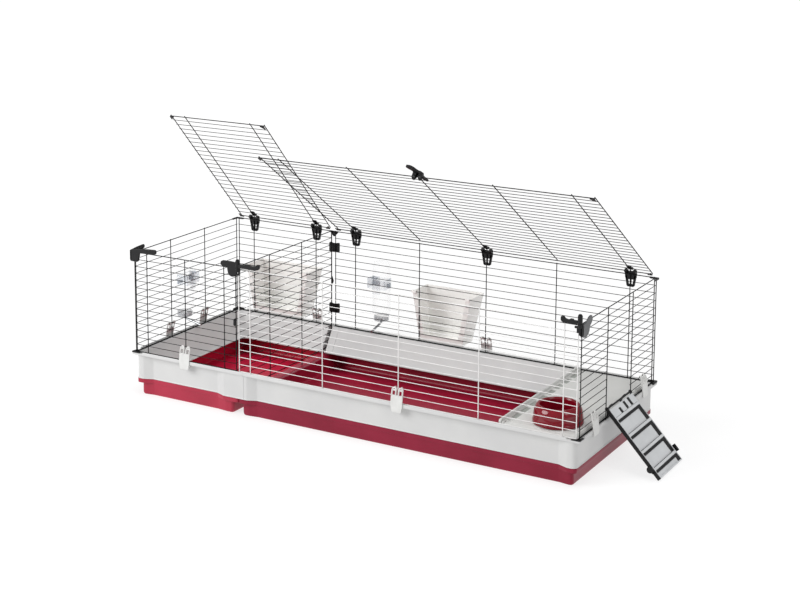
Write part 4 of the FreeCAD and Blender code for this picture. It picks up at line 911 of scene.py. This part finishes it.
black_piece("back_brackets_moulded", "cage", "back_brackets", back_brackets(), 0.6)
joint_clips = [shell for z in JOINT_CLIP_HEIGHTS for shell in joint_clip(z)]
black_piece("joint_clips_moulded", "cage", "panel_joint_clips", joint_clips, 1)
black_piece("partition_catches_moulded", "partition", "partition_catch", partition_catches(), 0.5)
corner_clips = bottom_corner_clip(1.6, 4.4)
corner_clips += [mirrored(shell, 1) for shell in bottom_corner_clip(5, 5.6)]
corner_clips += [mirrored(shell, 0) for shell in corner_clips]
black_piece("bottom_corner_clips_moulded", "cage", "bottom_corner_clips", corner_clips, 0.9)


# Base clips: strap outside the rim with a hook under its lip, and two arches over a level wire
CLIP_WIRE_V = -2.52
STRAP_LOW = {"front": 119, "back": 119, "left": 127, "right": 127}
STRAP_HALF = 20
STRAP_TAPER = 0.3
TAPER_TOP = 138
ARCH_X = 11.4
ARCH_HALF = 6.6
ARCH_FEET = [169, 174, 180]
ARCH_SPRING = 186.6
ARCH_RISE = 7
ARCH_BAR = (2.5, 3)
WEB_HALF = 5
GRIP_HALF = 2.4


def base_clip(low):
    """Strap with its lower end drawn in by a parabola, and two arches with a web under their tops."""
    strap = [(5.5, 172), (8.4, 172.6), (12.3, 148.6), (12.3, TAPER_TOP), (12.3, low + 8), (12.3, low + 4),
             (11.6, low + 1), (10.4, low), (9.6, low + 0.6), (9.3, low + 3), (9.3, low + 4), (6, 134.6),
             (9.3, 134.8), (9.3, 148)]
    points, faces = plate(strap, 0, -STRAP_HALF, 2 * STRAP_HALF)
    points[:, 0] *= 1 - STRAP_TAPER * np.clip((TAPER_TOP - points[:, 2]) / (TAPER_TOP - low), 0, 1) ** 2
    shells = [(points, faces)]
    turn = np.radians(np.linspace(0, 180, 13))
    rise = np.concatenate([ARCH_FEET, ARCH_SPRING + ARCH_RISE * np.sin(turn), ARCH_FEET[::-1]])
    foot = np.full(len(ARCH_FEET), ARCH_HALF)
    across = np.concatenate([foot, ARCH_HALF * np.cos(turn), -foot])
    lean = np.interp(rise, [ARCH_FEET[0], 186, 193.6], [7.4, 4.2, 0.8])
    grip = [(CLIP_WIRE_V - 3.4, 189), (CLIP_WIRE_V - 1.4, 188.6), (CLIP_WIRE_V - 1.5, 194), (2.4, 194),
            (2.4, 196), (CLIP_WIRE_V - 2, 196.1), (CLIP_WIRE_V - 3.6, 194.6)]
    for side in (-1, 1):
        middle = side * ARCH_X
        path = np.stack([middle + across, lean, rise], axis=1)
        shells += [swept(path, ARCH_BAR, 8, (0, 1, 0)),
                   block(middle - WEB_HALF, middle + WEB_HALF, 2.4, 4.6, 184.6, 190),
                   plate(grip, 0, middle - GRIP_HALF, 2 * GRIP_HALF)]
    return shells


# Places along the walls that the names begin with
CLIP_PLACES = {"front_small": -583.5, "front_large": 204, "back_small": -458, "back_large": 202,
               "left_front": -95, "left_back": 95, "right_front": -190, "right_back": 190}
for place, along in CLIP_PLACES.items():
    wall = place.split("_")[0]
    shells = on_wall(base_clip(STRAP_LOW[wall]), wall, along)
    piece("strap_" + place, "base_clip_" + place, ["base_clip_" + place], "strap_white", shells, 0.7)

# Ramp: grey deck with four sunk panels, dark strips at the head and far edge of each as painted shade, black
# rails.
# Heights are from the hinge axis, square to the deck
DECK_HALF = 87.6
DECK_NEAR = -82.6
DECK_FAR = 85.1
DECK_START = 6.4
DECK_END = 242
DECK_LOW = -3.5
DECK_TOP = 3.5
PANEL_TOP = 0.2
RIB_LOW = -1
LIP_TOP = 3.3
RAMP_LENGTH = 246
RAMP_HEAD = 44
PANELS = 4
PANEL_PITCH = 58.5
PANEL_LENGTH = 50
# Dark strips at the head and far edge of each sunk panel, and thin dark lines across the deck before each
# panel: painted shade and painted shadow gaps.
HEAD_SHADE_STRIP = 9
FAR_SHADE_STRIP = 66.6
SHADE_STRIP_HEIGHTS = (0.1, 1.6)
SHADOW_LINE_SPAN = (-9.6, -8.5)
SHADOW_LINE_HALF = 81.6
SHADOW_LINE_HEIGHTS = (0.1, 3.7)
# Dark blocks over the head plate's three slots: painted shade of the slot openings.
HEAD_SLOT_SHADES = ((17, 35, -37, -23), (10, 34, 5, 19), (8, 34, 39, 53))
SLOT_SHADE_HEIGHTS = (3, 3.9)
RAILS = ((-91.4, -87.8, 4.4), (87.8, 91.4, 0.6))
RAIL_LOW = -6.4
RAIL_START = 5
KNOB_Y = 91.9
KNOB_AT = 208
KNOB_PLATE = 4
FLOOR_LEVEL = 0.3


def above_floor(shells):
    """Shells with their points lifted to the floor where they would go under it."""
    lowest = (-np.inf, -np.inf, FLOOR_LEVEL)
    return [(np.maximum(points, lowest), faces) for points, faces in shells]


def ramp_deck():
    """Sunk sheet, head plate, a rung below each panel and a lip along both sides."""
    bars = [(DECK_START, RAMP_LENGTH, DECK_LOW, PANEL_TOP), (DECK_START, RAMP_HEAD, RIB_LOW, DECK_TOP)]
    for step in range(PANELS):
        rung = min(RAMP_HEAD + step * PANEL_PITCH + PANEL_LENGTH, DECK_END)
        rung_end = min(rung + PANEL_PITCH - PANEL_LENGTH, RAMP_LENGTH)
        bars.append((rung, rung_end, RIB_LOW, DECK_TOP))
    shells = [block(x0, x1, -DECK_HALF, DECK_HALF, z0, z1) for x0, x1, z0, z1 in bars]
    for y0, y1 in ((-DECK_HALF, DECK_NEAR), (DECK_FAR, DECK_HALF)):
        shells.append(block(DECK_START + 1, RAMP_LENGTH - 1, y0, y1, RIB_LOW, LIP_TOP))
    return above_floor(on_ramp(shells))


def ramp_rails_and_shade_strips():
    """Painted shade: dark strips at the head and far edge of each panel, thin shadow lines across the deck
    before each panel and dark blocks over the head plate's slots; and the two side rails with hinge eyes.
    """
    shells = []
    for step in range(PANELS):
        start = RAMP_HEAD + step * PANEL_PITCH
        stop = min(start + PANEL_LENGTH, DECK_END)
        shadow_line_start, shadow_line_stop = [start + edge for edge in SHADOW_LINE_SPAN]
        shells += [block(start, start + HEAD_SHADE_STRIP, DECK_NEAR, DECK_FAR, *SHADE_STRIP_HEIGHTS),
                   block(start + HEAD_SHADE_STRIP - 1, stop, FAR_SHADE_STRIP, DECK_FAR, *SHADE_STRIP_HEIGHTS),
                   block(shadow_line_start, shadow_line_stop, -SHADOW_LINE_HALF, SHADOW_LINE_HALF, *SHADOW_LINE_HEIGHTS)]
    shells += [block(*slot, *SLOT_SHADE_HEIGHTS) for slot in HEAD_SLOT_SHADES]
    for y0, y1, top in RAILS:
        shells += [block(RAIL_START, RAMP_LENGTH, y0, y1, RAIL_LOW, top),
                   eye_ring(0, y0, 0, 3.2, 6, 3.6, (0, 1, 0))]
    return above_floor(on_ramp(shells))


def ramp_latch(side, rise):
    """Round turn knob with a finger tab on the outside of a rail, and a plate that rises beside the deck."""
    y = side * KNOB_Y
    profile = [(9, 0), (10, 1), (10, 5.6), (8.6, 7.6), (4, 8)]
    y0, y1 = sorted((y, y + side * KNOB_PLATE))
    return on_ramp([lathe(profile, (KNOB_AT, y, DECK_LOW), 28, (0, side, 0)),
                    block(KNOB_AT + 1, KNOB_AT + 14, y0, y1, -6.3, -0.7),
                    block(KNOB_AT - 11, KNOB_AT + 11, y0, y1, -5, rise)])


piece("ramp_deck_panels", "ramp", ["ramp_deck"], "ramp_grey", ramp_deck(), 0.5)
# Black rails, with the dark strips, lines and slot blocks that are painted shade on the deck.
black_piece("ramp_rails_and_painted_shade", "ramp", "ramp_rails", ramp_rails_and_shade_strips(), 0.6)
for label, side, rise in (("front", -1, 3), ("back", 1, 11)):
    body = "ramp_latch_" + label
    black_piece(body + "_knob", body, body, ramp_latch(side, rise), 0.7)


# Water bottles: turned bottle and cap, ring bracket on a plate, bent spout
BOTTLE_PLACES = {"small": ("left", 30), "large": ("back", -218)}
BOTTLE_V = 40
SPOUT_RADII = (3.9, 3.9)
BRACKET_ARMS = (32.6, 35.2)
BRACKET_REACH = 45.6
BAND_RADIUS = 34
BAND_REACH = 45.5
BRACKET_BANDS = ((305, 9), (326, 2))


def bottle():
    """Wall from the neck up the outside, over the base and back down the inside."""
    outside = [(22.6, 181.4), (22.6, 195.8), (26, 199.4), (31, 203.6), (32, 207), (32, 372),
               (30.6, 380), (26, 384.8), (18, 386)]
    inside = [(16, 384.4), (25, 383.2), (29.2, 379), (30.5, 371), (30.5, 208), (29.6, 205),
              (21.2, 196.6), (21.2, 181.4)]
    wall = outside + [(0.6, 386), (0.6, 384.4)] + inside
    return [lathe(wall, (0, BOTTLE_V, 0), 56, ring=True)]


def bottle_cap():
    """Cup with a groove round its skirt and a hole for the spout."""
    profile = [(4.2, 178), (23, 178), (25.4, 179), (26, 181), (26, 184), (25.2, 185),
               (25.2, 187), (26, 188), (26, 195), (25.4, 195.6), (23.2, 195.6), (23.2, 181),
               (4.2, 181)]
    return [lathe(profile, (0, BOTTLE_V, 0), 48, ring=True)]


def spout():
    """Tube on a straight line, a parabola round the bend and a straight line to the tip."""
    turn = np.linspace(0, 1, 9)[:, None]
    start = np.array((0, BOTTLE_V, 181))
    bend = np.array((0, BOTTLE_V, 170))
    tip = np.array((0, -27, 154))
    before = bend + (start - bend) * 0.45
    after = bend + (tip - bend) * 0.12
    curve = before * (1 - turn) ** 2 + 2 * bend * turn * (1 - turn) + after * turn ** 2
    return [swept(np.concatenate([[start], curve, [tip]]), SPOUT_RADII, 16, (1, 0, 0))]


def bottle_bracket():
    """Band half round the bottle, on a small plate with a hook over a level wire."""
    turn = np.radians(np.linspace(-28, 208, 40))
    shells = []
    for z, height in BRACKET_BANDS:
        out = np.minimum(BOTTLE_V + BAND_RADIUS * np.sin(turn), BAND_REACH)
        path = np.stack([BAND_RADIUS * np.cos(turn), out, np.full(len(turn), z)], axis=1)
        shells.append(swept(path, (1.2, height), 12))
    shells += [block(-33, 33, FACE, FACE + 2.6, 296, 332), block(-14, 14, FACE, FACE + 2.8, 278, 342)]
    for side in (-1, 1):
        x0, x1 = sorted(side * x for x in BRACKET_ARMS)
        shells.append(block(x0, x1, FACE, BRACKET_REACH, 297, 331))
    hook = [block(-8, 8, -6.8, FACE + 2, 336.8, 339.6), block(-8, 8, -6.8, -4, 331.8, 338)]
    return shells + hook


BOTTLE_PIECES = (("bottle", "clear_bottle", bottle), ("bottle_cap", "cap_grey", bottle_cap),
                 ("bottle_spout", "steel", spout))
for label, (wall, along) in BOTTLE_PLACES.items():
    for name, slot, shape in BOTTLE_PIECES:
        node = name + "_" + label
        piece(node + "_shaped", "bottle_" + label, [node], slot, on_wall(shape(), wall, along))
    node = "bottle_bracket_" + label
    piece(node + "_shaped", "cage", [node], "clear_bracket", on_wall(bottle_bracket(), wall, along), 0.6)


# Hay racks: thicker rolled edge on top of the construction's tub
RACK_PLACES = {"small": (-624, 256), "large": (34, 218)}
RACK_DEPTH = 100
EDGE_Z = 310
EDGE_BAR = (1.4, 1.6)
EDGE_CORNER = 4


def rack_edge(width):
    """Bar along the two sides and the outside of a rack, its corners cut."""
    half = width / 2 - EDGE_BAR[0]
    near = FACE + EDGE_BAR[0]
    far = FACE + RACK_DEPTH - EDGE_BAR[0]
    right = [(half - EDGE_CORNER, far, EDGE_Z), (half, far - EDGE_CORNER, EDGE_Z), (half, near, EDGE_Z)]
    left = [(-x, y, z) for x, y, z in reversed(right)]
    return [swept(left + right, EDGE_BAR)]


for label, (x, width) in RACK_PLACES.items():
    edge = on_wall(rack_edge(width), "back", x)
    piece("rack_edge_" + label, "hay_rack_" + label, [], "rack_grey", edge)

# Carried-over construction nodes
for subpart in frame["record"]["subparts"]:
    mesh = frame["nodes"][subpart["node"]].data
    mesh.materials.clear()
    mesh.materials.append(SLOT_MATERIALS[subpart["material_slot"]])

# Floor, light and camera
floor_mesh = bpy.data.meshes.new("pale_floor")
FLOOR_HALF = 30
FLOOR_CORNERS = [(x * FLOOR_HALF, y * FLOOR_HALF, 0) for x, y in ((-1, -1), (1, -1), (1, 1), (-1, 1))]
floor_mesh.from_pydata(FLOOR_CORNERS, [], [(0, 1, 2, 3)])
FLOOR_CELL = 0.5
FLOOR_ROUGHNESS = 0.9
FLOOR_TINT = (0.25, 0.25, 0.25)
FLOOR_TINT_LIGHT = (0.27, 0.27, 0.27)
FLOOR_GLOW_NEAR = (0.74, 0.74, 0.74)
FLOOR_GLOW_FAR = (0.9, 0.9, 0.9)
FLOOR_GLOW_SPAN = (1.2, 6.0)
ground = Surface("pale_floor")
distance = ground.place.node("ShaderNodeVectorMath", {0: ground.place}, out=1, operation="LENGTH")
ground.set("Base Color", ground.place.noise(FLOOR_CELL).mix(FLOOR_TINT, FLOOR_TINT_LIGHT))
ground.set("Roughness", FLOOR_ROUGHNESS)
ground.set("Emission Color", distance.ramp(*FLOOR_GLOW_SPAN).mix(FLOOR_GLOW_NEAR, FLOOR_GLOW_FAR))
ground.set("Emission Strength", 1.0)
floor_mesh.materials.append(ground.material)
floor = add_object("pale_floor", floor_mesh)

world = bpy.data.worlds.new("studio")
world.use_nodes = True
scene.world = world
air = world.node_tree
backdrop = air.nodes["Background"]
backdrop.inputs["Color"].default_value = (1.0, 1.0, 1.0, 1.0)
rays = air.nodes.new("ShaderNodeLightPath")
seen = Shade(air, rays.outputs["Is Camera Ray"])
through = Shade(air, rays.outputs["Is Transmission Ray"])
white = seen.maths("MAXIMUM", seen, through)
AIR_LIGHT = 0.46
feed(air, backdrop.inputs["Strength"], white * (1.0 - AIR_LIGHT) + AIR_LIGHT)


def soft_light(name, place, aim, size, watts):
    light = bpy.data.lights.new(name, "AREA")
    light.shape = "DISK"
    light.size = size
    light.energy = watts
    lamp = add_object(name, light)
    lamp.location = place
    lamp.rotation_euler = (Vector(aim) - Vector(place)).to_track_quat("-Z", "Y").to_euler()


soft_light("key_left", (-3.6, -4.0, 2.8), (-0.2, 0, 0.2), 3.6, 246.0)
soft_light("fill_right", (4.6, -1.6, 3.2), (0.2, 0, 0.2), 2.6, 54.0)
soft_light("top_soft", (0.4, 0.2, 4.6), (0, 0, 0), 3.0, 70.0)

CAMERA_EYE = (2.5406, -4.3778, 1.8196)
CAMERA_YAW = 29.744
CAMERA_PITCH = 9.121
CAMERA_ROLL = 0.319
CAMERA_LENS = 74.007
CAMERA_SENSOR = 36.0
CAMERA_SHIFT = -0.25
view = bpy.data.cameras.new("photo_view")
view.lens = CAMERA_LENS
view.sensor_width = CAMERA_SENSOR
view.shift_y = CAMERA_SHIFT
camera = add_object("photo_view", view)
camera.location = CAMERA_EYE
heading = Matrix.Rotation(math.radians(CAMERA_YAW), 3, "Z")
tilt = Matrix.Rotation(math.radians(90.0 - CAMERA_PITCH), 3, "X")
roll = Matrix.Rotation(math.radians(CAMERA_ROLL), 3, "Z")
camera.rotation_euler = (heading @ tilt @ roll).to_euler()
scene.camera = camera
scene.view_settings.view_transform = "Standard"
